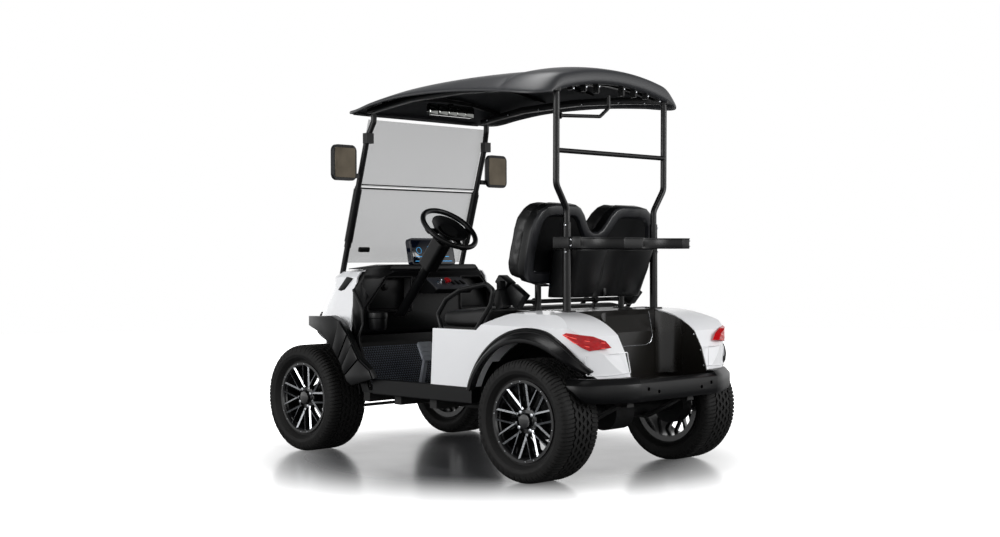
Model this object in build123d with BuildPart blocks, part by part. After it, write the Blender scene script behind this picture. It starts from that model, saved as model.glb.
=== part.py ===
from build123d import *
import os
from math import cos, radians, sin

# Lifted two-seat golf cart, in millimetres.
# +X points forward, +Y to the left and +Z up. The origin is on the ground, on the centre line,
# under the middle of the overall length.

os.makedirs("parts", exist_ok=True)

# ---------------------------------------------------------------- driving dimensions
overall_length = 2480
wheelbase = 1668
rear_overhang = 434
tyre_diameter = 584
tyre_width = 254
wheel_y = 545                 # middle plane of each tyre
rim_lip_radius = 196
rim_width = 200
spoke_pairs = 9
body_half_width = 588
skin = 10                     # wall of the moulded body panels
fit_gap = 0.3                 # between pieces that seat on curved or moving faces

rear_x = rear_overhang - overall_length / 2
front_x = rear_x + wheelbase
axle_z = tyre_diameter / 2

# chassis
rail_y = 235
rail_width = 40
rail_depth = 70
rail_top = 345                # under the floor
rail_high_top = 455           # over both axles
floor_thickness = 12
floor_top = rail_top + floor_thickness
sill_top = 424
sill_half_width = 598

# steering
kingpin_y = 430
kingpin_reach = 75            # half height of the axle yoke
steer_arm_back = 120
steer_arm_z = 235
steering_y = 290
steering_wheel_x = 58
steering_wheel_z = 1212
steering_wheel_radius = 168
steering_tilt = 40.2          # wheel plane from horizontal

# seat and rear deck
deck_top = 796
deck_half_width = 372
pod_front_x = -132
pod_back_x = -512
pod_top = 700
pivot_x = -505
pivot_z = 838
pivot_radius = 11
seat_lean = 12
seat_back_x = -600
seat_back_z = 940
seat_half_width = 520

# bag well
well_half_width = 300
well_floor = 463
well_front_x = -930

# screen and roof
strut_y = 451
strut_radius = 16
strut_foot = (772, 890)       # x, z at the cowl
strut_clamp = (534, 1709)     # x, z of the windscreen clamp
strut_head_x = 500
post_y_low = 337
post_y_high = 416
post_x = rear_x - 5
roof_pad_z = 1842             # flat underside of the pads the front struts bolt to
rear_pad_z = 1862
mirror_pad_z = 1918


def save(piece, node):
    piece.part.label = node
    export_step(piece.part, f"parts/{node}.step")


def side_plane(y=0):
    """Upright plane along the cart: local x is X, local y is Z."""
    return Plane(origin=(0, y, 0), x_dir=(1, 0, 0), z_dir=(0, -1, 0))


def cross_plane(x=0):
    """Upright plane across the cart: local x is Y, local y is Z."""
    return Plane(origin=(x, 0, 0), x_dir=(0, 1, 0), z_dir=(1, 0, 0))


def prism(outline, y_low, y_high):
    """Side outline, as (x, z) corners, extruded across the cart."""
    with BuildPart() as block:
        with BuildSketch(side_plane(y_high)):
            with BuildLine():
                Polyline(*outline, close=True)
            make_face()
        extrude(amount=y_high - y_low)
    return block.part


def block_between(low, high):
    """Box from its low corner to its high corner."""
    size = [b - a for a, b in zip(low, high)]
    middle = [(a + b) / 2 for a, b in zip(low, high)]
    with BuildPart() as block:
        with Locations(tuple(middle)):
            Box(*size)
    return block.part


def tube(points, radius, bend=0):
    """Round bar along straight runs with bends of one radius."""
    with BuildPart() as bar:
        with BuildLine() as path:
            if bend and len(points) > 2:
                FilletPolyline(*points, radius=bend)
            else:
                Polyline(*points)
        with BuildSketch(Plane(origin=path.line @ 0, z_dir=path.line % 0)):
            Circle(radius)
        sweep(path=path.line)
    return bar.part


def drum(x, z, y_low, y_high, radius):
    """Cylinder across the cart."""
    with BuildPart() as body:
        with BuildSketch(side_plane(y_high)):
            with Locations((x, z)):
                Circle(radius)
        extrude(amount=y_high - y_low)
    return body.part


# ---------------------------------------------------------------- chassis frame
bumper_depth = 64
rail_front = overall_length / 2 - bumper_depth
rail_back = bumper_depth - overall_length / 2
rail_outline = [
    (rail_back, rail_high_top), (rear_x + 172, rail_high_top), (rear_x + 292, rail_top),
    (front_x - 302, rail_top), (front_x - 182, rail_high_top), (rail_front, rail_high_top),
    (rail_front, rail_high_top - rail_depth), (front_x - 150, rail_high_top - rail_depth),
    (front_x - 270, rail_top - rail_depth),
    (rear_x + 260, rail_top - rail_depth), (rear_x + 140, rail_high_top - rail_depth),
    (rail_back, rail_high_top - rail_depth),
]
# members between the rails: x, low z, high z
cross_members = [
    (-1150, 395, 455), (-940, 395, 455), (-440, 285, 345), (-90, 295, 345), (180, 295, 345),
    (430, 295, 345), (1145, 395, 455),
]
# outriggers that carry the floor: x, low z, high z
outriggers = [(-90, 295, 345), (180, 295, 345), (430, 295, 345)]
outrigger_reach = 548
tower_z = 500                 # underside of the shock towers
# x of each tower, half length across
shock_towers = [(front_x, 345), (rear_x, 345)]
spring_rear_hanger = (rear_x - 314, rear_x - 254, 364)
spring_front_hanger = (rear_x + 216, rear_x + 266, 274)

rail_inner = rail_y - rail_width / 2
rail_outer = rail_y + rail_width / 2

with BuildPart() as chassis_rails:
    for side in (1, -1):
        low, high = sorted((side * rail_inner, side * rail_outer))
        add(prism(rail_outline, low, high))
        for x_low, x_high, z_low in (spring_rear_hanger, spring_front_hanger):
            add(block_between((x_low, low, z_low), (x_high, high, z_low + 50)))
        for x, _ in shock_towers:
            add(block_between((x - 20, low, rail_high_top - 10), (x + 20, high, tower_z - fit_gap)))
save(chassis_rails, "chassis_rails")

with BuildPart() as chassis_crossmembers:
    for x, z_low, z_high in cross_members:
        add(block_between((x - 25, fit_gap - rail_inner, z_low), (x + 25, rail_inner - fit_gap, z_high)))
    for x, z_low, z_high in outriggers:
        for side in (1, -1):
            low, high = sorted((side * (rail_outer + fit_gap), side * outrigger_reach))
            add(block_between((x - 25, low, z_low), (x + 25, high, z_high)))
    for x, reach in shock_towers:
        add(block_between((x - 20, -reach, tower_z), (x + 20, reach, tower_z + 30)))
save(chassis_crossmembers, "chassis_crossmembers")

# ---------------------------------------------------------------- wheels
bead_radius = 182
tyre_radius = tyre_diameter / 2
half_tyre = tyre_width / 2
half_rim = rim_width / 2
carcass = 16
hub_face = -10                # inner mounting face, from the wheel's middle plane
spider_low = 58
spider_depth = 26
hub_radius = 62
hub_cap_radius = 34
spoke_width = 11
spoke_spacing = 50            # between the two bars of a pair
axle_flange_y = wheel_y + hub_face - fit_gap

# depths below the tread at which the side wall turns, for a wall this high
wall_height = 110
wall_turns = [turn * (tyre_radius - bead_radius) / wall_height for turn in (86, 66, 44, 20, 6)]
r_foot, r_low, r_wide, r_high, r_edge = [tyre_radius - turn for turn in wall_turns]
lining_turns = [turn * (tyre_radius - bead_radius) / wall_height for turn in (56, 30)]
r_lining_low, r_lining_high = [tyre_radius - turn for turn in lining_turns]
# radius from the axle, distance outwards from the middle plane
tyre_outline = [
    (bead_radius + fit_gap, -half_rim + 9), (r_foot, -half_rim + 9), (r_low, -half_tyre + 4),
    (r_wide, -half_tyre), (r_high, -half_tyre + 4), (r_edge, -half_tyre + 16),
    (tyre_radius, -half_tyre + 34), (tyre_radius, half_tyre - 34), (r_edge, half_tyre - 16),
    (r_high, half_tyre - 4), (r_wide, half_tyre), (r_low, half_tyre - 4), (r_foot, half_rim - 9),
    (bead_radius + fit_gap, half_rim - 9), (bead_radius + fit_gap, half_rim - 9 - carcass),
    (r_foot, half_rim - 9 - carcass), (r_lining_low, half_tyre - carcass),
    (r_lining_high, half_tyre - carcass - 6), (tyre_radius - carcass, half_tyre - 46),
    (tyre_radius - carcass, -half_tyre + 46), (r_lining_high, -half_tyre + carcass + 6),
    (r_lining_low, -half_tyre + carcass), (r_foot, -half_rim + 9 + carcass),
    (bead_radius + fit_gap, -half_rim + 9 + carcass),
]
barrel_outline = [
    (170, -half_rim), (rim_lip_radius, -half_rim), (rim_lip_radius, -half_rim + 8),
    (bead_radius, -half_rim + 8.5), (bead_radius, -50), (174, -40), (174, 40), (bead_radius, 50),
    (bead_radius, half_rim - 8.5), (rim_lip_radius, half_rim - 8), (rim_lip_radius, half_rim),
    (170, half_rim),
]
wheels = {
    "front_left": (front_x, 1), "front_right": (front_x, -1),
    "rear_left": (rear_x, 1), "rear_right": (rear_x, -1),
}

for place, (wheel_x, side) in wheels.items():
    hub_centre = (wheel_x, side * wheel_y, axle_z)
    radial_plane = Plane(origin=hub_centre, x_dir=(1, 0, 0), z_dir=(0, 0, side))
    spin_axis = Axis(hub_centre, (0, 1, 0))
    with BuildPart() as tyre:
        with BuildSketch(radial_plane):
            with BuildLine():
                Polyline(*tyre_outline, close=True)
            make_face()
        revolve(axis=spin_axis)
    save(tyre, f"tyre_{place}")

    face_plane = Plane(origin=hub_centre, x_dir=(1, 0, 0), z_dir=(0, side, 0))
    with BuildPart() as rim:
        with BuildSketch(radial_plane):
            with BuildLine():
                Polyline(*barrel_outline, close=True)
            make_face()
        revolve(axis=spin_axis)
        with BuildSketch(face_plane.offset(spider_low)):
            with PolarLocations((hub_radius + 172) / 2, spoke_pairs):
                with Locations((0, spoke_spacing / 2), (0, -spoke_spacing / 2)):
                    Rectangle(172 - hub_radius + 14, spoke_width)
        extrude(amount=spider_depth)
        with BuildSketch(face_plane.offset(hub_face)):
            Circle(hub_radius)
        extrude(amount=spider_low + spider_depth - hub_face)
        with BuildSketch(face_plane.offset(spider_low + spider_depth)):
            Circle(hub_cap_radius)
        extrude(amount=12, taper=20)
    save(rim, f"rim_{place}")

# ---------------------------------------------------------------- rear axle and springs
axle_tube_radius = 35
with BuildPart() as rear_axle:
    add(drum(rear_x, axle_z, -axle_flange_y, axle_flange_y, axle_tube_radius))
    for side in (1, -1):
        low, high = sorted((side * (axle_flange_y - 72), side * axle_flange_y))
        add(drum(rear_x, axle_z, low, high, 98))
    add(drum(rear_x, axle_z, -70, 70, 92))
    add(block_between((rear_x, -60, axle_z - 60), (rear_x + 150, 60, axle_z + 60)))
    add(drum(rear_x + 165, axle_z + 5, -60, 205, 84))
save(rear_axle, "rear_axle_and_motor")

leaf_thickness = 14
leaf_top = axle_z - axle_tube_radius - fit_gap
leaf_line = [
    (spring_rear_hanger[0], spring_rear_hanger[2]), (spring_rear_hanger[1], spring_rear_hanger[2]),
    (rear_x - 40, leaf_top), (rear_x + 40, leaf_top),
    (spring_front_hanger[0], spring_front_hanger[2]), (spring_front_hanger[1], spring_front_hanger[2]),
]
leaf_outline = leaf_line + [(x, z - leaf_thickness) for x, z in reversed(leaf_line)]
with BuildPart() as leaf_springs:
    for side in (1, -1):
        low, high = sorted((side * (rail_y - 25), side * (rail_y + 25)))
        add(prism(leaf_outline, low, high))
save(leaf_springs, "leaf_springs")

# shock absorbers: x, y, low z, body radius
beam_half_height = 32
shocks = [(front_x, 322, axle_z + beam_half_height, 30),
          (rear_x, 322, axle_z + axle_tube_radius + fit_gap, 26)]
with BuildPart() as shock_absorbers:
    for x, y, z_low, radius in shocks:
        for side in (1, -1):
            with BuildSketch(Plane(origin=(x, side * y, z_low))):
                Circle(12)
            extrude(amount=tower_z - z_low)
            with BuildSketch(Plane(origin=(x, side * y, z_low + 25))):
                Circle(radius)
            extrude(amount=tower_z - z_low - 40)
save(shock_absorbers, "shock_absorbers")

# ---------------------------------------------------------------- front axle, knuckles and tie rod
yoke_thickness = 20
yoke_half_length = 22
knuckle_half_height = kingpin_reach - yoke_thickness - fit_gap
kingpin_radius = 12
with BuildPart() as front_axle:
    add(block_between((front_x - 30, -kingpin_y + 55, axle_z - beam_half_height),
                      (front_x + 30, kingpin_y - 55, axle_z + beam_half_height)))
    for side in (1, -1):
        root_low, root_high = sorted((side * (kingpin_y - 58), side * (kingpin_y - 36)))
        tip_low, tip_high = sorted((side * (kingpin_y - 58), side * (kingpin_y + 22)))
        add(block_between((front_x - yoke_half_length, root_low, axle_z - kingpin_reach),
                          (front_x + yoke_half_length, root_high, axle_z + kingpin_reach)))
        for z in (axle_z - kingpin_reach, axle_z + kingpin_reach - yoke_thickness):
            add(block_between((front_x - yoke_half_length, tip_low, z),
                              (front_x + yoke_half_length, tip_high, z + yoke_thickness)))
        with BuildSketch(Plane(origin=(front_x, side * kingpin_y, axle_z - kingpin_reach))):
            Circle(kingpin_radius)
        extrude(amount=2 * kingpin_reach)
save(front_axle, "front_axle")

tie_rod_radius = 9
tie_eye_half = 10
ball_pin_radius = 7
steer_arm_thickness = 16
for side, name in ((1, "left"), (-1, "right")):
    arm_tip = (front_x - steer_arm_back, side * kingpin_y)
    with BuildPart() as knuckle:
        with BuildSketch(Plane(origin=(front_x, side * kingpin_y, axle_z - knuckle_half_height))):
            Circle(27)
        extrude(amount=2 * knuckle_half_height)
        low, high = sorted((side * kingpin_y, side * axle_flange_y))
        add(drum(front_x, axle_z, low, high, 22))
        low, high = sorted((side * (axle_flange_y - 30), side * axle_flange_y))
        add(drum(front_x, axle_z, low, high, 70))
        arm_low = steer_arm_z + tie_eye_half + 4
        with BuildSketch(Plane(origin=(0, 0, arm_low))):
            with BuildLine():
                Polyline((front_x - 10, side * (kingpin_y + 16)), (arm_tip[0], arm_tip[1] + side * 13),
                         (arm_tip[0], arm_tip[1] - side * 13), (front_x - 10, side * (kingpin_y - 16)),
                         close=True)
            make_face()
            with Locations(arm_tip):
                Circle(16)
        extrude(amount=steer_arm_thickness)
        with BuildSketch(Plane(origin=(*arm_tip, steer_arm_z - 14))):
            Circle(ball_pin_radius)
        extrude(amount=arm_low - steer_arm_z + 16)
        with BuildSketch(Plane(origin=(front_x, side * kingpin_y, axle_z - kingpin_reach))):
            Circle(kingpin_radius + fit_gap)
        extrude(amount=2 * kingpin_reach, mode=Mode.SUBTRACT)
    save(knuckle, f"knuckle_{name}")

tie_rod_x = front_x - steer_arm_back
with BuildPart() as tie_rod:
    add(drum(tie_rod_x, steer_arm_z, -kingpin_y + 12, kingpin_y - 12, tie_rod_radius))
    for side in (1, -1):
        with BuildSketch(Plane(origin=(tie_rod_x, side * kingpin_y, steer_arm_z - tie_eye_half))):
            Circle(16)
        extrude(amount=2 * tie_eye_half)
    for side in (1, -1):
        with BuildSketch(Plane(origin=(tie_rod_x, side * kingpin_y, steer_arm_z - tie_eye_half - 1))):
            Circle(ball_pin_radius + fit_gap)
        extrude(amount=2 * tie_eye_half + 2, mode=Mode.SUBTRACT)
save(tie_rod, "tie_rod")

# ---------------------------------------------------------------- floor, sills and front body
sill_inner = 557
floor_front = 455
toe_x = 552
toe_z = 600                   # where the slanted toe board turns upright
dash_under = 640
frame_depth = 52              # black frame down each side of the doorway
floor_outline = [
    (pod_front_x + 4, rail_top), (floor_front, rail_top), (toe_x + floor_thickness, toe_z),
    (toe_x + floor_thickness, dash_under - fit_gap), (toe_x, dash_under - fit_gap), (toe_x, toe_z),
    (floor_front - 5, floor_top), (pod_front_x + 4, floor_top),
]
frame_outline = [
    (floor_front - frame_depth, floor_top - 1), (floor_front, floor_top - 1), (toe_x + 1, toe_z),
    (toe_x + 1, dash_under - fit_gap), (toe_x - frame_depth, dash_under - fit_gap),
    (toe_x - frame_depth, toe_z),
]
with BuildPart() as floor_pan:
    add(prism(floor_outline, -sill_inner + 1, sill_inner - 1))
    for side in (1, -1):
        low, high = sorted((side * 530, side * (sill_inner - 1)))
        add(prism(frame_outline, low, high))
save(floor_pan, "floor_pan")

sill_back_x = -418
sill_front_x = 326
sill_outline = [(sill_back_x, 345), (sill_front_x, 345), (sill_front_x, sill_top), (sill_back_x, sill_top)]
with BuildPart() as sills:
    for side in (1, -1):
        low, high = sorted((side * sill_inner, side * sill_half_width))
        add(prism(sill_outline, low, high))
save(sills, "sills")

# nose of the cart at each height: z, front x, half width, corner radius
cowl_sections = [
    (470, 1165, 548, 440), (640, 1150, 550, 440), (780, 1055, 532, 380), (900, 945, 505, 290),
    (955, 880, 496, 180), (985, 810, 470, 130), (998, 735, 425, 90),
]
cowl_back_x = 570
arch_radius = 386
liner = 6
liner_inner_y = 272           # inner edge of the front wheel wells


def cowl_loft(inset, back):
    """Closed shape of the nose, with every wall moved in by the inset."""
    with BuildPart() as nose:
        for z, x_front, half_width, corner in cowl_sections:
            lift = inset if z == cowl_sections[-1][0] else 0
            width = 2 * (half_width - inset)
            length = x_front - inset - back
            with BuildSketch(Plane(origin=(back, 0, z - lift))):
                with Locations((length / 2, 0)):
                    Rectangle(length, width)
                front = faces().edges().group_by(Axis.X)[-1].vertices()
                fillet(front, min(corner - inset, width / 2 - 1, length - 1))
        loft(ruled=True)
    return nose.part


with BuildPart() as front_cowl:
    add(cowl_loft(0, cowl_back_x))
    add(cowl_loft(skin, cowl_back_x - 1), mode=Mode.SUBTRACT)
    for side in (1, -1):
        low, high = sorted((side * liner_inner_y, side * 700))
        add(drum(front_x, axle_z, low, high, arch_radius + liner + fit_gap), mode=Mode.SUBTRACT)
save(front_cowl, "front_cowl")

# front wheel arch flares: stepped outside outline, and the round liner inside the arch
flare_outer_y = 655
flare_body_y = 560
flare_outline = [
    (905, 686), (905, 740), (600, 751), (535, 728), (465, 655), (430, 604), (378, 526), (290, 474),
    (264, sill_top + 1), (sill_front_x + 1, sill_top + 1), (sill_front_x + 4, 384), (430, 378),
    (front_x, 378), (front_x, 686),
]
# seen from above, the front end of each flare is cut back
flare_plan = [(200, flare_body_y), (200, flare_outer_y), (800, flare_outer_y), (905, flare_body_y + 12),
              (905, flare_body_y)]
well_top = axle_z + 40
with BuildPart() as flare_wing:
    with BuildSketch():
        with BuildLine():
            Polyline(*flare_plan, close=True)
        make_face()
    extrude(amount=900)
    add(prism(flare_outline, flare_body_y - 1, flare_outer_y + 1), mode=Mode.INTERSECT)

with BuildPart() as front_flares:
    for side in (1, -1):
        low, high = sorted((side * liner_inner_y, side * flare_body_y))
        add(drum(front_x, axle_z, low, high, arch_radius + liner))
    add(block_between((front_x, -700, -200), (front_x + 500, 700, 1000)), mode=Mode.SUBTRACT)
    add(block_between((front_x - 500, -700, -200), (front_x + 500, 700, well_top)), mode=Mode.SUBTRACT)
    add(flare_wing.part)
    add(mirror(flare_wing.part, about=Plane.XZ))
    for side in (1, -1):
        low, high = sorted((side * (liner_inner_y - 1), side * 700))
        add(drum(front_x, axle_z, low, high, arch_radius), mode=Mode.SUBTRACT)
save(front_flares, "front_flares")

# front bumper: a bar across the nose, bent back at its ends
bumper_x = (overall_length - bumper_depth) / 2
bumper_points = [(bumper_x - 26, -318), (bumper_x, -276), (bumper_x, 276), (bumper_x - 26, 318)]
with BuildPart() as front_bumper:
    with BuildSketch(Plane(origin=(0, 0, 395))):
        with BuildLine():
            FilletPolyline(*bumper_points, radius=40)
        trace(line_width=bumper_depth)
    extrude(amount=75)
save(front_bumper, "front_bumper")

# headlights, set on the corners of the nose
lamp_centre = (1000, 330, 705)
lamp_plane = Plane(origin=lamp_centre, x_dir=(-0.64, 0.77, 0), z_dir=(0.77, 0.64, 0.25))
with BuildPart() as headlights:
    with BuildSketch(lamp_plane.offset(-30)):
        RectangleRounded(180, 78, 24)
    extrude(amount=90)
    add(cowl_loft(-14, cowl_back_x), mode=Mode.INTERSECT)
    add(cowl_loft(-fit_gap, cowl_back_x - 1), mode=Mode.SUBTRACT)
    mirror(about=Plane.XZ)
save(headlights, "headlights")

# ---------------------------------------------------------------- dashboard and controls
dash_half_width = 530
dash_face_x = 490
dash_top = 1000
dash_crown = 1024             # top of the dash between the raised shoulders
dash_crown_y = 300
shelf_top = 742
shelf_bottom = 664
shelf_front_x = 400
dash_outline = [
    (565, dash_top), (482, dash_top), (456, dash_top - 16), (dash_face_x, 950),
    (dash_face_x, shelf_bottom), (545, dash_under), (565, dash_under),
]
crown_outline = [
    (-dash_half_width, dash_top - 1), (-dash_crown_y, dash_crown), (dash_crown_y, dash_crown),
    (dash_half_width, dash_top - 1),
]
# storage pockets in the dash face: low y, high y
pockets = [(180, 480), (-480, -210)]
cup_places = [(446, 455), (446, 365), (446, -365), (446, -455)]
cup_radius = 37
cup_depth = 62
with BuildPart() as dashboard:
    add(prism(dash_outline, -dash_half_width, dash_half_width))
    with BuildSketch(cross_plane(482)):
        with BuildLine():
            Polyline(*crown_outline, close=True)
        make_face()
    extrude(amount=640 - 482)
    add(cowl_loft(-fit_gap, cowl_back_x - 4), mode=Mode.SUBTRACT)
    for y_low, y_high in pockets:
        add(block_between((dash_face_x - 1, y_low, 775), (dash_face_x + 62, y_high, 948)),
            mode=Mode.SUBTRACT)
save(dashboard, "dashboard")

# shelf on each side of the dash with two cup holders: low y, high y
shelves = [(240, dash_half_width), (-dash_half_width, -320)]
with BuildPart() as cup_holders:
    for y_low, y_high in shelves:
        add(block_between((shelf_front_x, y_low, shelf_bottom), (dash_face_x - fit_gap, y_high, shelf_top)))
    with Locations(*[(x, y, shelf_top) for x, y in cup_places]):
        Hole(cup_radius, depth=cup_depth)
save(cup_holders, "cup_holders")

switch_outline = [(dash_face_x, 949), (455, 949), (352, 884), (372, 862), (dash_face_x, 862)]
with BuildPart() as switch_panel:
    add(prism(switch_outline, -172, 105))
save(switch_panel, "switch_panel")

display_lean = radians(12)
display_plane = Plane(origin=(496, 18, dash_top), x_dir=(0, -1, 0),
                      z_dir=(-cos(display_lean), 0, sin(display_lean)))
with BuildPart() as display_screen:
    with BuildSketch(display_plane):
        with Locations((0, 90)):
            RectangleRounded(330, 155, 22)
    extrude(amount=34)
    add(block_between((505, -80, dash_crown), (535, 116, dash_crown + 20)))
    add(block_between((400, -200, dash_crown - 100), (600, 240, dash_crown)), mode=Mode.SUBTRACT)
save(display_screen, "display_screen")

# steering column: along the wheel's own axis down to the shelf
tilt = radians(steering_tilt)
wheel_centre = (steering_wheel_x, steering_y, steering_wheel_z)
wheel_plane = Plane(origin=wheel_centre, x_dir=(0, 1, 0), z_dir=(-sin(tilt), 0, cos(tilt)))
column_start = 62             # below the wheel's plane
column_length = 640
with BuildPart() as steering_column:
    with BuildSketch(wheel_plane.offset(-column_start)):
        Circle(26)
    extrude(amount=-column_length)
    with BuildSketch(wheel_plane.offset(-column_start - 20)):
        RectangleRounded(84, 92, 20)
    extrude(amount=-180)
    add(block_between((0, 0, 0), (900, 600, shelf_top)), mode=Mode.SUBTRACT)
save(steering_column, "steering_column")

grip_radius = 14
ring_radius = steering_wheel_radius - grip_radius
with BuildPart() as steering_wheel:
    with BuildSketch(Plane(origin=wheel_centre, x_dir=(0, 1, 0), z_dir=(cos(tilt), 0, sin(tilt)))):
        with Locations((ring_radius, 0)):
            Circle(grip_radius)
    revolve(axis=Axis(wheel_centre, wheel_plane.z_dir))
    with BuildSketch(wheel_plane.offset(-column_start + 1)):
        Circle(34)
    extrude(amount=column_start - 12)
    with BuildSketch(wheel_plane.offset(-30)):
        Circle(52)
    extrude(amount=26)
    for angle in (0, 90, 180):
        with BuildSketch(wheel_plane.offset(-22)):
            with PolarLocations(ring_radius / 2 + 8, 1, start_angle=angle):
                Rectangle(ring_radius - 20, 34)
        extrude(amount=12)
save(steering_wheel, "steering_wheel")

# pedals on stalks that stand on the floor: name order is brake, accelerator; middle y, width, height
pedal_pads = [(150, 110, 112), (34, 62, 118)]
pedal_lean = radians(25)
with BuildPart() as pedals:
    for y, width, height in pedal_pads:
        pad_plane = Plane(origin=(392, y, 542), x_dir=(0, 1, 0),
                          z_dir=(-cos(pedal_lean), 0, sin(pedal_lean)))
        with BuildSketch(pad_plane):
            RectangleRounded(width, height, 10)
        extrude(amount=12)
        stalk = [(386, 530), (420, floor_top), (446, floor_top), (394, 556)]
        add(prism(stalk, y - 8, y + 8))
save(pedals, "pedals")

# ---------------------------------------------------------------- seat pod, battery and seat
pod_half_width = 556
pod_wall = 10
with BuildPart() as seat_pod:
    add(block_between((pod_back_x, -pod_half_width, rail_top), (pod_front_x, pod_half_width, pod_top)))
    add(block_between((pod_back_x + pod_wall, -pod_half_width + pod_wall, floor_top),
                      (pod_front_x - pod_wall, pod_half_width - pod_wall, pod_top + 1)), mode=Mode.SUBTRACT)
    add(block_between((pod_back_x - 100, -620, rail_top - 1),
                      (rear_x + arch_radius + 20, -310, pod_top + 1)),
        mode=Mode.SUBTRACT)
    add(block_between((pod_back_x - 100, 310, rail_top - 1), (rear_x + arch_radius + 20, 620, pod_top + 1)),
        mode=Mode.SUBTRACT)
    for side in (1, -1):
        low, high = sorted((side * 310, side * pod_half_width))
        add(block_between((rear_x + arch_radius + 20, low, rail_top),
                          (rear_x + arch_radius + 20 + pod_wall, high, pod_top)))
        low, high = sorted((side * 310, side * (310 + pod_wall)))
        add(block_between((pod_back_x, low, rail_top), (rear_x + arch_radius + 20, high, pod_top)))
    add(block_between((pod_back_x, -310, pod_top - 5), (pod_back_x + pod_wall, 310, deck_top - 8 - fit_gap)))
save(seat_pod, "seat_pod")

with BuildPart() as battery_pack:
    add(block_between((-470, -290, floor_top + fit_gap), (-160, 290, floor_top + 250)))
save(battery_pack, "battery_pack")

seat_board_top = 712
cushion_outline = [(-100, seat_board_top), (-112, 797), (-490, 828), (-425, seat_board_top)]
with BuildPart() as seat_cushion:
    add(prism(cushion_outline, -seat_half_width, seat_half_width))
save(seat_cushion, "seat_cushion")

# seat board with two arms that turn on the pivot bar behind the cushion
arm_places = (230, -230)
pivot_eye_radius = pivot_radius + 9
with BuildPart() as seat_base:
    add(block_between((-432, -seat_half_width + 22, pod_top + fit_gap),
                      (-112, seat_half_width - 22, seat_board_top - fit_gap)))
    for y in arm_places:
        add(prism([(-428, pod_top + 1), (-428, seat_board_top - 1), (-433, seat_board_top + 4),
                   (pivot_x + 7, pivot_z - 8), (pivot_x - 10, pivot_z - 4), (-452, pod_top + 1)], y - 4,
                   y + 4))
        add(drum(pivot_x, pivot_z, y - 12, y + 12, pivot_eye_radius - 2))
    for y in arm_places:
        add(drum(pivot_x, pivot_z, y - 13, y + 13, pivot_radius + fit_gap), mode=Mode.SUBTRACT)
save(seat_base, "seat_base")

back_plane = Plane(origin=(seat_back_x, 0, seat_back_z), x_dir=(0, 1, 0),
                   z_dir=(cos(radians(seat_lean)), 0, sin(radians(seat_lean))))
back_width = 448
back_height = 395
back_middle = 254
back_foam = 90
back_shell = 60
with BuildPart() as seat_back_cushions:
    with BuildSketch(back_plane.offset(fit_gap)):
        with Locations((back_middle, back_height / 2), (-back_middle, back_height / 2)):
            RectangleRounded(back_width, back_height, 105)
    extrude(amount=back_foam)
save(seat_back_cushions, "seat_back_cushions")

with BuildPart() as seat_back_shell:
    with BuildSketch(back_plane):
        with Locations((back_middle, back_height / 2), (-back_middle, back_height / 2)):
            RectangleRounded(back_width + 6, back_height + 6, 108)
        with Locations((0, 130)):
            Rectangle(200, 250)
    extrude(amount=-back_shell)
save(seat_back_shell, "seat_back_shell")

# seat back stand: two posts on the deck, the pivot bar and its brackets
stand_x = -607
stand_y = 321
stand_radius = 16
with BuildPart() as seat_back_stand:
    for side in (1, -1):
        with BuildSketch(Plane(origin=(stand_x, side * stand_y, deck_top))):
            Circle(stand_radius)
        extrude(amount=134)
        low, high = sorted((side * (stand_y - 30), side * (stand_y + 30)))
        with BuildSketch(Plane(origin=(stand_x, side * stand_y, deck_top))):
            RectangleRounded(64, 64, 8)
        extrude(amount=5)
        add(block_between((stand_x, side * stand_y - 6, pivot_z - 9),
                          (pivot_x, side * stand_y + 6, pivot_z + 9)))
        with BuildSketch(back_plane.offset(-back_shell)):
            with Locations((side * stand_y, -7.3)):
                Rectangle(64, 8)
        extrude(amount=back_shell)
    add(drum(pivot_x, pivot_z, -455, 455, pivot_radius))
save(seat_back_stand, "seat_back_stand")

# belt retractors at the outer ends of the pivot bar
with BuildPart() as seat_belts:
    for side in (1, -1):
        low, high = sorted((side * (455 + fit_gap), side * 515))
        with BuildSketch(side_plane(high)):
            with Locations(Location((pivot_x - 12, pivot_z + 18), -20)):
                RectangleRounded(52, 96, 12)
        extrude(amount=high - low)
        low, high = sorted((side * 470, side * 500))
        add(block_between((pivot_x - 16, low, pivot_z + 60), (pivot_x + 8, high, pivot_z + 108)))
save(seat_belts, "seat_belts")

# hip restraints: a hoop on each side of the seat: x, z along the hoop
hoop_line = [(-150, pod_top), (-122, 772), (-185, 850), (-290, 900), (-470, 930), (-520, 900),
             (-500, 830), (-395, pod_top)]
hoop_y = 544
hoop_radius = 12
with BuildPart() as armrests:
    for side in (1, -1):
        add(tube([(x, side * hoop_y, z) for x, z in hoop_line], hoop_radius, 26))
    add(block_between((-600, -700, pod_top - 40), (0, 700, pod_top)), mode=Mode.SUBTRACT)
save(armrests, "armrests")

# ---------------------------------------------------------------- rear body
shell_side_inner = pod_half_width + fit_gap
fender_bottom = 500
deck_back_x = -845
deck_thickness = 8
wheel_house_y = 386
lamp_centre_rear = (-1075, 485, 666)
lamp_rear_plane = Plane(origin=lamp_centre_rear, x_dir=(-0.715, -0.7, 0), z_dir=(-0.7, 0.715, 0))
lamp_outline = [(-120, 37), (-106, 46), (18, 30), (78, 7), (106, -25), (0, -37), (-37, -21)]
lamp_proud = 9
lamp_pocket = 20


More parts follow.
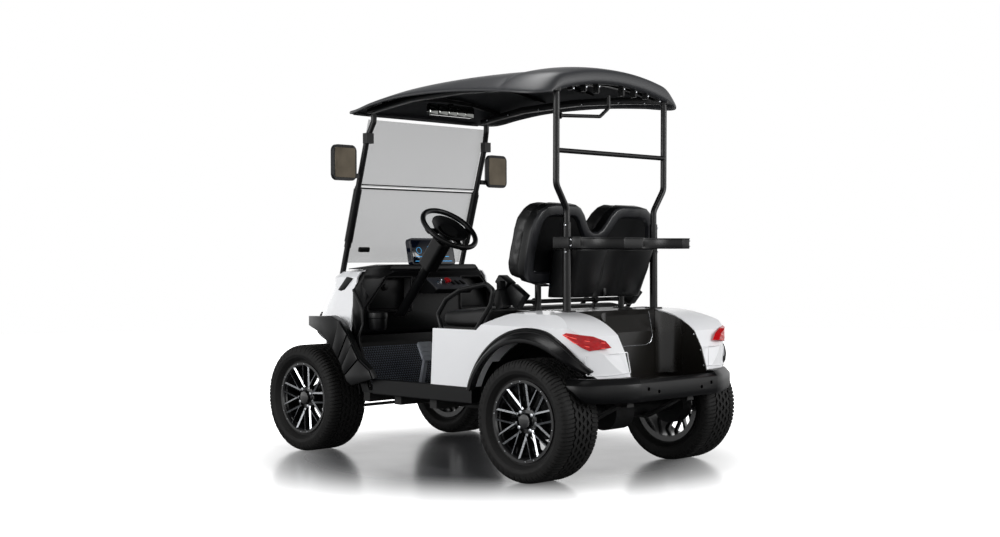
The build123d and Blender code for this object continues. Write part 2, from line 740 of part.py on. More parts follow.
def rear_plan(grow, height=1000):
    """One rear corner of the body seen from above, grown outwards and raised to a block."""
    side_y = body_half_width + grow
    with BuildPart() as plan:
        with BuildSketch():
            with BuildLine():
                Line((-100, 0), (-100, side_y))
                Line((-100, side_y), (-940, side_y + 6))
                ThreePointArc((-940, side_y + 6), (-1070 - grow * 0.7, 567 + grow * 0.7),
                              (-1136 - grow, 472))
                ThreePointArc((-1136 - grow, 472), (-1160 - grow, 390), (-1174 - grow, well_half_width))
                Polyline((-1174 - grow, well_half_width), (-1176 - grow, 0), (-100, 0))
            make_face()
        extrude(amount=height)
    return plan.part


# across the cart, the top of each fender falls gently to a shoulder and then steeply to the side
fender_section = [
    (0, 0), (620, 0), (620, deck_top - 80), (500, deck_top - 8), (deck_half_width, deck_top + 12),
    (0, deck_top + 12),
]
with BuildPart() as fender_block:
    with BuildSketch(side_plane(700)):
        with BuildLine():
            Polyline((-1098, deck_top - 104), (-1142, 610), (-1174, fender_bottom), (-800, fender_bottom),
                     (-418, sill_top), (-116, sill_top), (-132, 706), (-444, 706))
            ThreePointArc((-444, 706), (-520, deck_top - 39), (-640, deck_top))
            ThreePointArc((-640, deck_top), (-760, deck_top + 6), (-880, deck_top - 7))
            ThreePointArc((-880, deck_top - 7), (-1008, deck_top - 45), (-1098, deck_top - 104))
        make_face()
    extrude(amount=700)
    add(rear_plan(0), mode=Mode.INTERSECT)
    with BuildSketch(cross_plane(-1200)):
        with BuildLine():
            Polyline(*fender_section, close=True)
        make_face()
    extrude(amount=1200, mode=Mode.INTERSECT)

with BuildPart() as lamp_block:
    with BuildSketch(lamp_rear_plane.offset(-90)):
        with BuildLine():
            Polyline(*lamp_outline, close=True)
        make_face()
    extrude(amount=260)
    add(rear_plan(-lamp_pocket), mode=Mode.SUBTRACT)

deck_under = deck_top - deck_thickness
with BuildPart() as rear_body_left:
    add(fender_block.part)
    add(block_between((-1300, -1, 0), (0, well_half_width, 1000)), mode=Mode.SUBTRACT)
    add(block_between((-905, 0, 0), (0, wheel_house_y, deck_under - 20)), mode=Mode.SUBTRACT)
    add(block_between((pod_back_x - 10, 0, 0), (0, shell_side_inner, 1000)), mode=Mode.SUBTRACT)
    add(block_between((deck_back_x - fit_gap, 0, deck_under), (0, deck_half_width + fit_gap, 1000)),
        mode=Mode.SUBTRACT)
    add(drum(rear_x, axle_z, wheel_house_y, 700, arch_radius), mode=Mode.SUBTRACT)
    add(lamp_block.part, mode=Mode.SUBTRACT)
save(rear_body_left, "rear_body_left")

with BuildPart() as rear_body_right:
    add(mirror(rear_body_left.part, about=Plane.XZ))
save(rear_body_right, "rear_body_right")

with BuildPart() as tail_lights:
    add(lamp_block.part)
    add(rear_plan(lamp_proud), mode=Mode.INTERSECT)
    mirror(about=Plane.XZ)
save(tail_lights, "tail_lights")

# rear wheel arch flares and the liner inside each arch: radius from the axle, distance from the
# centre line
flare_section = [
    (386, 440), (436, 440), (436, 600), (430, 612), (394, 652), (374, 657), (368, 655), (376, 640),
    (384, 604), (386, 596),
]
liner_section = [(380, wheel_house_y + 1), (385.7, wheel_house_y + 1), (385.7, 512), (380, 512)]
# outer limit of the flare seen from above: it follows the body round the rear corner
flare_limit = [
    (-300, 440), (-300, 657), (-960, 657), (-1040, 626), (-1100, 574), (-1140, 508), (-1160, 440),
]
flare_front_angle = 19
flare_back_angle = 146
with BuildPart() as rear_flares:
    with BuildSketch(Plane(origin=(rear_x, 0, axle_z))):
        with BuildLine():
            Polyline(*flare_section, close=True)
        make_face()
    revolve(axis=Axis((rear_x, 0, axle_z), (0, 1, 0)))
    add(rear_plan(fit_gap), mode=Mode.SUBTRACT)
    with BuildSketch():
        with BuildLine():
            Polyline(*flare_limit, close=True)
        make_face()
    extrude(amount=900, mode=Mode.INTERSECT)
    with BuildSketch(Plane(origin=(rear_x, 0, axle_z))):
        with BuildLine():
            Polyline(*liner_section, close=True)
        make_face()
    revolve(axis=Axis((rear_x, 0, axle_z), (0, 1, 0)))
    keep = [(rear_x, axle_z)]
    for angle in (flare_front_angle, 80, flare_back_angle):
        keep.append((rear_x + 900 * cos(radians(angle)), axle_z + 900 * sin(radians(angle))))
    add(prism(keep, wheel_house_y, 700), mode=Mode.INTERSECT)
    mirror(about=Plane.XZ)
save(rear_flares, "rear_flares")

# ---------------------------------------------------------------- bag well, basket and bag holder
well_wall = 8
well_back_x = rail_back
well_line = [
    (well_back_x, well_floor), (well_front_x, well_floor), (well_front_x, 690), (-880, 772),
    (deck_back_x, deck_top), (pod_back_x, deck_top),
]
well_under = [
    (pod_back_x, deck_under), (deck_back_x + 4, deck_under), (-873, 766), (well_front_x + well_wall, 687),
    (well_front_x + well_wall, well_floor - well_wall), (well_back_x, well_floor - well_wall),
]
well_side = [
    (well_back_x, well_floor - 1), (-1174, fender_bottom), (-1142, 609), (-1098, 691), (-1060, 720),
    (-1008, 749), (deck_back_x, deck_top - 1), (-880, 771), (well_front_x + 1, 690),
    (well_front_x + 1, well_floor - 1),
]
with BuildPart() as bag_well:
    add(prism(well_line + well_under, -well_half_width, well_half_width))
    for side in (1, -1):
        low, high = sorted((side * (well_half_width - well_wall), side * well_half_width))
        add(prism(well_side, low, high))
    add(block_between((deck_back_x, -deck_half_width, deck_under), (pod_back_x, deck_half_width, deck_top)))
save(bag_well, "bag_well")

# sweater basket: z, back x, half width at its foot and rim. Its front wall lies along the seat shell
basket_levels = [(863, -779, 292), (1098, -854, 316)]
basket_wall = 5
lean_slope = sin(radians(seat_lean)) / cos(radians(seat_lean))
shell_back_x = seat_back_x - back_shell / cos(radians(seat_lean))


def basket_block(inset, lift):
    with BuildPart() as block:
        for z, back_x, half_width in basket_levels:
            front_x_here = shell_back_x - fit_gap - (z - seat_back_z) * lean_slope
            level = z + lift if z == basket_levels[0][0] else z + lift / 4
            with BuildSketch(Plane(origin=((back_x + front_x_here) / 2, 0, level))):
                Rectangle(front_x_here - back_x - 2 * inset, 2 * (half_width - inset))
        loft()
    return block.part


with BuildPart() as sweater_basket:
    add(basket_block(0, 0))
    add(basket_block(basket_wall, basket_wall), mode=Mode.SUBTRACT)
save(sweater_basket, "sweater_basket")

# bag holder: a moulded bar with a scallop for each golf bag
post_radius = 16
sleeve_radius = 20
holder_low = 1100
holder_height = 56
holder_front_x = post_x - sleeve_radius - fit_gap
holder_back_x = -952
scallop_radius = 250
with BuildPart() as bag_holder:
    with BuildSketch(Plane(origin=(0, 0, holder_low))):
        with Locations(((holder_front_x + holder_back_x) / 2, 0)):
            RectangleRounded(holder_front_x - holder_back_x, 944, 30)
        with Locations((holder_back_x - 172, 236), (holder_back_x - 172, -236)):
            Circle(scallop_radius, mode=Mode.SUBTRACT)
    extrude(amount=holder_height)
save(bag_holder, "bag_holder")

# ---------------------------------------------------------------- rear bumper
bumper_low = 385
bumper_top_middle = 468
rear_bar = [(-1020, 586), (-1100, 580), (-bumper_x, 330), (-bumper_x, -330), (-1100, -580), (-1020, -586)]
# bolt holes: distance from the centre line, height
bumper_holes = [(246, 444), (167, 428)]
bumper_hole_radius = 7
with BuildPart() as rear_bumper:
    with BuildSketch(Plane(origin=(0, 0, bumper_low))):
        with BuildLine():
            FilletPolyline(*rear_bar, radius=80)
        trace(line_width=bumper_depth)
    extrude(amount=fender_bottom - fit_gap - bumper_low)
    add(block_between((-1300, -well_half_width, bumper_top_middle), (-900, well_half_width, 600)),
        mode=Mode.SUBTRACT)
    add(drum(rear_x, axle_z, -700, -380, 318), mode=Mode.SUBTRACT)
    add(drum(rear_x, axle_z, 380, 700, 318), mode=Mode.SUBTRACT)
    for y, z in bumper_holes:
        with BuildSketch(cross_plane(-overall_length / 2 - 1)):
            with Locations((y, z), (-y, z)):
                Circle(bumper_hole_radius)
        extrude(amount=bumper_depth + 2, mode=Mode.SUBTRACT)
save(rear_bumper, "rear_bumper")

# ---------------------------------------------------------------- roof, struts and screens
# along the roof: x, half width, heights of the side edge, the shoulder and the crown, wall
roof_sections = [
    (620, 505, 1842, 1853, 1862, 12), (540, 545, 1836, 1868, 1912, 12), (400, 564, 1860, 1893, 1960, 12),
    (160, 578, 1886, 1930, 1998, 12), (-250, 580, 1886, 1946, 2012, 12), (-600, 576, 1856, 1938, 2010, 12),
    (-760, 562, 1834, 1936, 2002, 18), (-850, 530, 1838, 1932, 1985, 60),
]
roof_lip = 8
roof_shoulder = 80            # from the side edge in to the shoulder
roof_front_x = roof_sections[0][0]
roof_rear_x = roof_sections[-1][0]


def roof_outer():
    """Solid under the roof's outside surface."""
    with BuildPart() as lens:
        for x, half_width, edge_z, shoulder_z, crown_z, _ in roof_sections:
            with BuildSketch(cross_plane(x)):
                with BuildLine():
                    shoulder_y = half_width - roof_shoulder
                    ThreePointArc((-shoulder_y, shoulder_z), (0, crown_z), (shoulder_y, shoulder_z))
                    Polyline((shoulder_y, shoulder_z), (half_width, edge_z + roof_lip),
                             (half_width, edge_z), (-half_width, edge_z),
                             (-half_width, edge_z + roof_lip), (-shoulder_y, shoulder_z))
                make_face()
        loft()
    return lens.part


def roof_inner():
    """Space under the roof: it hangs below the side edges and runs out through the rear."""
    with BuildPart() as lens:
        for x, half_width, edge_z, shoulder_z, crown_z, wall in roof_sections:
            station = min(x, roof_front_x - wall) if x > roof_rear_x else roof_rear_x - 1
            width = half_width - wall
            with BuildSketch(cross_plane(station)):
                with BuildLine():
                    shoulder_y = width - roof_shoulder
                    ThreePointArc((-shoulder_y, shoulder_z - wall), (0, crown_z - wall),
                                  (shoulder_y, shoulder_z - wall))
                    Polyline((shoulder_y, shoulder_z - wall), (width, edge_z + roof_lip - wall),
                             (width, edge_z - 10 * roof_lip), (-width, edge_z - 10 * roof_lip),
                             (-width, edge_z + roof_lip - wall), (-shoulder_y, shoulder_z - wall))
                make_face()
        loft()
    return lens.part


roof_solid = roof_outer()
with BuildPart() as roof_skin:
    add(roof_solid)
    add(roof_inner(), mode=Mode.SUBTRACT)
# pads under the roof that the struts, the handle and the mirror bolt to: x, y, underside
strut_head_y = 432
roof_pads = [
    (post_x - 8, post_y_high, rear_pad_z), (post_x - 8, -post_y_high, rear_pad_z),
    (post_x - 8, 30, rear_pad_z),
    (strut_head_x, strut_head_y, roof_pad_z), (strut_head_x, -strut_head_y, roof_pad_z),
    (345, 0, mirror_pad_z),
]
pad_reach = 24
with BuildPart() as roof:
    for x, y, z in roof_pads:
        add(block_between((x - pad_reach, y - pad_reach, z), (x + pad_reach, y + pad_reach, 2100)))
    add(roof_solid, mode=Mode.INTERSECT)
    add(roof_skin.part)
save(roof, "roof")

post_line = [
    (post_x, post_y_low, deck_top), (post_x, post_y_low, 1295), (post_x - 4, post_y_high, 1408),
    (post_x - 8, post_y_high, rear_pad_z - fit_gap),
]
crossbar_z = 1572
with BuildPart() as rear_struts:
    for side in (1, -1):
        add(tube([(x, side * y, z) for x, y, z in post_line], post_radius, 60))
        with BuildSketch(Plane(origin=(post_x, side * post_y_low, deck_top))):
            Circle(sleeve_radius)
        extrude(amount=1228 - deck_top)
        with BuildSketch(Plane(origin=(post_x, side * post_y_low, deck_top))):
            RectangleRounded(66, 68, 8)
        extrude(amount=6)
    add(drum(post_x - 7, crossbar_z, -post_y_high, post_y_high, 12))
save(rear_struts, "rear_struts")

handle_radius = 9
handle_x = post_x - 8
handle_start = post_y_high - post_radius - fit_gap
with BuildPart() as roof_handle:
    add(tube([(handle_x, handle_start - 2, 1738), (handle_x, 96, 1754), (handle_x, 30, 1800),
              (handle_x, 30, rear_pad_z - fit_gap)], handle_radius, 24))
    add(drum(handle_x, 1738, handle_start - 12, handle_start, 16))
save(roof_handle, "roof_handle")

strut_slope = (strut_clamp[0] - strut_foot[0]) / (strut_clamp[1] - strut_foot[1])


def strut_line_x(z):
    """X of the middle of a front strut at a height."""
    return strut_foot[0] + (z - strut_foot[1]) * strut_slope


front_line = [
    (strut_line_x(870), strut_y, 870), (strut_clamp[0], strut_y, strut_clamp[1]),
    (strut_head_x, strut_head_y, 1800), (strut_head_x, strut_head_y, roof_pad_z - fit_gap),
]
grip_levels = (1120, 1450)
with BuildPart() as front_struts:
    for side in (1, -1):
        add(tube([(x, side * y, z) for x, y, z in front_line], strut_radius, 30))
        low_end, high_end = [(strut_line_x(z), side * strut_y, z) for z in grip_levels]
        add(tube([low_end, high_end], strut_radius + 3))
        x = strut_clamp[0]
        low, high = sorted((side * (strut_y - 24), side * (strut_y + 24)))
        add(block_between((x - 28, low, strut_clamp[1] - 28), (x + 8, high, strut_clamp[1] + 28)))
    add(cowl_loft(-fit_gap, cowl_back_x), mode=Mode.SUBTRACT)
save(front_struts, "front_struts")

glass_thickness = 5
glass_half_width = 446
glass_offset = (strut_radius + 3 + fit_gap) / cos(radians(16.2))
# node, low z, high z
panes = [("windshield_lower", 1034, 1450), ("windshield_upper", 1454, 1812)]
for node, z_low, z_high in panes:
    with BuildPart() as pane:
        x_low, x_high = [strut_line_x(z) + glass_offset for z in (z_low, z_high)]
        add(prism([(x_low, z_low), (x_high, z_high), (x_high + glass_thickness, z_high),
                   (x_low + glass_thickness, z_low)], -glass_half_width, glass_half_width))
    save(pane, node)

mirror_width = 162
mirror_height = 192
mirror_y = 584
mirror_z = 1574
mirror_x = 574
with BuildPart() as side_mirrors:
    for side in (1, -1):
        with BuildSketch(cross_plane(mirror_x - 14)):
            with Locations((side * mirror_y, mirror_z)):
                RectangleRounded(mirror_width, mirror_height, 34)
        extrude(amount=22)
        with BuildSketch(cross_plane(mirror_x + 8)):
            with Locations((side * mirror_y, mirror_z)):
                RectangleRounded(mirror_width, mirror_height, 34)
        extrude(amount=26, taper=38)
        arm_low, arm_high = sorted((side * (strut_y + strut_radius + fit_gap), side * (mirror_y - 60)))
        add(block_between((mirror_x + 6, arm_low, 1494), (mirror_x + 18, arm_high, 1520)))
save(side_mirrors, "side_mirrors")

with BuildPart() as interior_mirror:
    with BuildSketch(cross_plane(340)):
        with Locations((0, mirror_pad_z - 40)):
            RectangleRounded(350, 64, 20)
    extrude(amount=16)
    add(block_between((341, -14, mirror_pad_z - 30), (355, 14, mirror_pad_z - fit_gap)))
save(interior_mirror, "interior_mirror")
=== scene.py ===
import math

import bpy
from mathutils import Matrix, Vector


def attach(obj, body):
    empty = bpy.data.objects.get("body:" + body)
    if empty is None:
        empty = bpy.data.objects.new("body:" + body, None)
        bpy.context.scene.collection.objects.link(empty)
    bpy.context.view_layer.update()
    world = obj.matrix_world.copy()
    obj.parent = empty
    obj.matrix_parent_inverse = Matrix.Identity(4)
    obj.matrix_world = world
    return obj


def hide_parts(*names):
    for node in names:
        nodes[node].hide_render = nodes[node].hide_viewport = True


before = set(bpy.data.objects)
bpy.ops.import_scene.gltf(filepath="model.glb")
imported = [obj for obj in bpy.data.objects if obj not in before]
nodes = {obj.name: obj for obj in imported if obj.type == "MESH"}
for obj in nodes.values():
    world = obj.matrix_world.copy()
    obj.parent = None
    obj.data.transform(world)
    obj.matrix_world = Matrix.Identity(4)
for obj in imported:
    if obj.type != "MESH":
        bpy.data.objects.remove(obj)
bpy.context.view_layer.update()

mm = 0.001
mergeGap = 0.00002  # metres: points closer than this become one
frontAxle, rearAxle, hubAcross, hubHeight = 862, -806, 545, 292  # millimetres, as all sizes below are
blackPlastic = "grainedBlackPolypropylene"  # the look of most moulded parts

# small tools for modelling


def deselect():
    bpy.ops.object.select_all(action="DESELECT")


def pick(piece):
    deselect()
    piece.select_set(True)
    bpy.context.view_layer.objects.active = piece


def applyAll(piece):
    pick(piece)
    for modifier in list(piece.modifiers):
        bpy.ops.object.modifier_apply(modifier=modifier.name)


def freeze(piece):
    # place, turn and scale go into the mesh, so the object sits at the origin
    pick(piece)
    bpy.ops.object.transform_apply(location=True, rotation=True, scale=True)


def named(name):
    piece = bpy.context.object
    piece.name = name
    piece.data.name = name
    return piece


def roundEdges(piece, width, segments=2, angle=30):
    bevel = piece.modifiers.new("edges", "BEVEL")
    bevel.width = width * mm
    bevel.segments = segments
    bevel.angle_limit = math.radians(angle)
    bevel.harden_normals = False
    applyAll(piece)
    return piece


def smooth(piece, angle=35):
    pick(piece)
    bpy.ops.object.shade_smooth_by_angle(angle=math.radians(angle))
    return piece


def moveCorners(piece, places):
    # puts each vertex of a primitive at its place in millimetres
    for vertex, place in zip(piece.data.vertices, places):
        vertex.co = Vector(place) * mm
    piece.data.update()


def edited(piece, *steps):
    # runs edit-mode steps in turn, each on the whole mesh
    pick(piece)
    bpy.ops.object.mode_set(mode="EDIT")
    for step in steps:
        bpy.ops.mesh.select_all(action="SELECT")
        step()
    bpy.ops.object.mode_set(mode="OBJECT")
    return piece


def mergeDoubles():
    bpy.ops.mesh.remove_doubles(threshold=mergeGap)


def turnOutward():
    bpy.ops.mesh.normals_make_consistent(inside=False)


def faceOut(piece):
    return edited(piece, mergeDoubles, turnOutward)


def boxPiece(name, low, high, edge=2.0, segments=2):
    middle = [(a + b) / 2 * mm for a, b in zip(low, high)]
    size = [(b - a) * mm for a, b in zip(low, high)]
    deselect()
    bpy.ops.mesh.primitive_cube_add(size=1, location=middle, scale=size)
    piece = named(name)
    freeze(piece)
    if edge:
        roundEdges(piece, edge, segments)
    return piece


def outlinePiece(name, outline, depth, edge=2.0, segments=2):
    # flat outline from a circle's vertices, pulled out along depth
    deselect()
    bpy.ops.mesh.primitive_circle_add(vertices=len(outline), radius=1, fill_type="NGON")
    piece = named(name)
    moveCorners(piece, outline)
    pull = {"value": [v * mm for v in depth]}
    edited(piece, lambda: bpy.ops.mesh.extrude_region_move(TRANSFORM_OT_translate=pull), turnOutward)
    if edge:
        roundEdges(piece, edge, segments)
    return piece


def lathePiece(name, profile, centre, axis, radial, steps=64):
    # closed profile of (radius, place along the axis) turned about the axis
    centre, axis, radial = Vector(centre), Vector(axis).normalized(), Vector(radial).normalized()
    deselect()
    bpy.ops.mesh.primitive_circle_add(vertices=len(profile), radius=1, fill_type="NOTHING")
    piece = named(name)
    moveCorners(piece, [centre + axis * along + radial * radius for radius, along in profile])
    turn = {"steps": steps, "angle": 2 * math.pi, "center": centre * mm, "axis": axis}
    return edited(piece, lambda: bpy.ops.mesh.spin(**turn), mergeDoubles, turnOutward)


def gridPiece(name, rows):
    # sheet through rows of points
    across, along = len(rows[0]), len(rows)
    deselect()
    bpy.ops.mesh.primitive_grid_add(x_subdivisions=across - 1, y_subdivisions=along - 1, size=1)
    piece = named(name)
    moveCorners(piece, [point for row in rows for point in row])
    return piece


def tubePiece(name, points, radius, bend=0.0, sides=4, closed=False):
    # round bar along straight runs, with its corners bent to one radius
    path = []
    points = [Vector(p) for p in points]
    count = len(points)
    for i, corner in enumerate(points):
        if not closed and i in (0, count - 1) or not bend:
            path.append(corner)
            continue
        before = (points[i - 1] - corner)
        after = (points[(i + 1) % count] - corner)
        turn = math.pi - before.angle(after)
        if turn < 0.05:
            path.append(corner)
            continue
        reach = min(bend * math.tan(turn / 2), before.length * 0.48, after.length * 0.48)
        start = corner + before.normalized() * reach
        stop = corner + after.normalized() * reach
        steps = max(2, int(turn / 0.2))
        for k in range(steps + 1):
            t = k / steps
            path.append(start * (1 - t) ** 2 + corner * 2 * t * (1 - t) + stop * t ** 2)
    curve = bpy.data.curves.new(name, "CURVE")
    curve.dimensions = "3D"
    curve.bevel_depth = radius * mm
    curve.bevel_resolution = sides
    curve.use_fill_caps = True
    spline = curve.splines.new("POLY")
    spline.points.add(len(path) - 1)
    for point, place in zip(spline.points, path):
        point.co = (*(place * mm), 1)
    spline.use_cyclic_u = closed
    piece = bpy.data.objects.new(name, curve)
    bpy.context.scene.collection.objects.link(piece)
    pick(piece)
    bpy.ops.object.convert(target="MESH")
    return smooth(bpy.context.object)


def cornerPiece(name, corners, edge=1.0, segments=1):
    # cube with its eight corners placed one by one: near, near up, far, far up, then the same further on
    deselect()
    bpy.ops.mesh.primitive_cube_add(size=1)
    piece = named(name)
    moveCorners(piece, corners)
    faceOut(piece)
    if edge:
        roundEdges(piece, edge, segments)
    return piece


def leaningFace(origin, up, out):
    # turns measures across, up and out of a leaning face into a place
    def place(across, along, outward):
        return Vector(origin) + Vector((0, across, 0)) + up * along + out * outward
    return place


def slab(name, face, across, along, outward, edge=1.0, segments=1):
    # block on a leaning face, between two measures each way
    corners = [face(a, b, c) for a in across for b in along for c in outward]
    return cornerPiece(name, corners, edge, segments)


def thickened(piece, wall):
    solid = piece.modifiers.new("wall", "SOLIDIFY")
    solid.thickness = wall * mm
    solid.offset = 0
    applyAll(piece)
    return piece


def capped(rows):
    # a row of one repeated middle point closes each end of a tube of closed rings
    ends = []
    for ring in (rows[0][:-1], rows[-1][:-1]):
        middle = [sum(point[i] for point in ring) / len(ring) for i in range(3)]
        ends.append([middle] * (len(ring) + 1))
    return [ends[0]] + rows + [ends[1]]


def joined(name, pieces):
    deselect()
    for piece in pieces:
        piece.select_set(True)
    bpy.context.view_layer.objects.active = pieces[0]
    if len(pieces) > 1:
        bpy.ops.object.join()
    return named(name)


def copied(piece, matrix=None, name=None):
    twin = piece.copy()
    twin.data = piece.data.copy()
    bpy.context.scene.collection.objects.link(twin)
    if name:
        twin.name = name
        twin.data.name = name
    if matrix is not None:
        twin.data.transform(matrix)
        if matrix.determinant() < 0:
            twin.data.flip_normals()
    return twin


mirrorY = Matrix.Scale(-1, 4, (0, 1, 0))


def bothSides(piece):
    # the piece and its mirror image across the middle of the cart
    twin = copied(piece, mirrorY)
    return joined(piece.name, [piece, twin])


def cut(piece, cutter):
    boolean = piece.modifiers.new("cut", "BOOLEAN")
    boolean.object = cutter
    boolean.operation = "DIFFERENCE"
    boolean.solver = "EXACT"
    applyAll(piece)
    bpy.data.objects.remove(cutter)
    return piece


def drilled(piece, place, radius, depth, steps, turn=0.0):
    deselect()
    bpy.ops.mesh.primitive_cylinder_add(vertices=steps, radius=radius * mm, depth=depth * mm,
                                        location=[v * mm for v in place], rotation=(0, turn, 0))
    return cut(piece, named("bore"))


def finishPiece(piece, look, replacing=(), angle=35, body="chassis"):
    smooth(piece, angle)
    if look:
        piece.data.materials.clear()
        piece.data.materials.append(materials[look])
    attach(piece, body)
    if replacing:
        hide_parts(*replacing)
    return piece


def around(piece, count, start=0.0):
    # copies turned about the Y axis, joined into one piece
    turns = []
    for k in range(count):
        turns.append(copied(piece, Matrix.Rotation(start + 2 * math.pi * k / count, 4, "Y")))
    bpy.data.objects.remove(piece)
    return joined(turns[0].name, turns)


# materials


def linear(colour):
    values = [int(colour[i:i + 2], 16) / 255 for i in (1, 3, 5)]
    return [v / 12.92 if v <= 0.04045 else ((v + 0.055) / 1.055) ** 2.4 for v in values] + [1.0]


def addNode(tree, kind, settings=None, values=None, links=None):
    node = tree.nodes.new(kind)
    for key, value in (settings or {}).items():
        setattr(node, key, value)
    for key, value in (values or {}).items():
        node.inputs[key].default_value = value
    for key, source in (links or {}).items():
        tree.links.new(source, node.inputs[key])
    return node


def emptyTree(owner):
    owner.use_nodes = True
    owner.node_tree.nodes.clear()
    return owner.node_tree


def surface(colour, second, patch, rough, grain, depth, **more):
    # a colour with patches of a second, a roughness range, and a grain with its depth; sizes in millimetres
    return {"colour": colour, "second": second, "patch": patch, "rough": rough, "grain": grain,
            "depth": depth, **more}


def finish(name, look):
    material = bpy.data.materials.new(name)
    tree = emptyTree(material)
    place = addNode(tree, "ShaderNodeTexCoord").outputs["Object"]
    patches = addNode(tree, "ShaderNodeTexNoise", values={"Scale": 1 / (look["patch"] * mm), "Detail": 4.0},
                      links={"Vector": place}).outputs["Fac"]
    colour = addNode(tree, "ShaderNodeMix", {"data_type": "RGBA"},
                     {6: linear(look["colour"]), 7: linear(look["second"])}, {"Factor": patches}).outputs[2]
    least, most = look["rough"]
    rough = addNode(tree, "ShaderNodeMapRange", values={"To Min": least, "To Max": most},
                    links={"Value": patches})
    kind, height, values = "ShaderNodeTexNoise", "Fac", {"Scale": 1 / (look["grain"] * mm), "Detail": 3.0}
    if look.get("cells"):
        kind, height, values = "ShaderNodeTexVoronoi", "Distance", {"Scale": 1 / (look["grain"] * mm)}
    grain = addNode(tree, kind, values=values, links={"Vector": place})
    bump = addNode(tree, "ShaderNodeBump", values={"Strength": 0.5, "Distance": look["depth"] * mm},
                   links={"Height": grain.outputs[height]})
    shader = addNode(tree, "ShaderNodeBsdfPrincipled",
                     values={"Metallic": look.get("metallic", 0.0), "Coat Weight": look.get("coat", 0.0),
                             "Specular IOR Level": look.get("specular", 0.5)},
                     links={"Base Color": colour, "Roughness": rough.outputs["Result"],
                            "Normal": bump.outputs["Normal"]})
    for key, socket in (("ior", "IOR"), ("alpha", "Alpha"), ("glow", "Emission Strength")):
        if key in look:
            shader.inputs[socket].default_value = look[key]
    if "glow" in look:
        tree.links.new(colour, shader.inputs["Emission Color"])
    addNode(tree, "ShaderNodeOutputMaterial", links={"Surface": shader.outputs["BSDF"]})
    return material


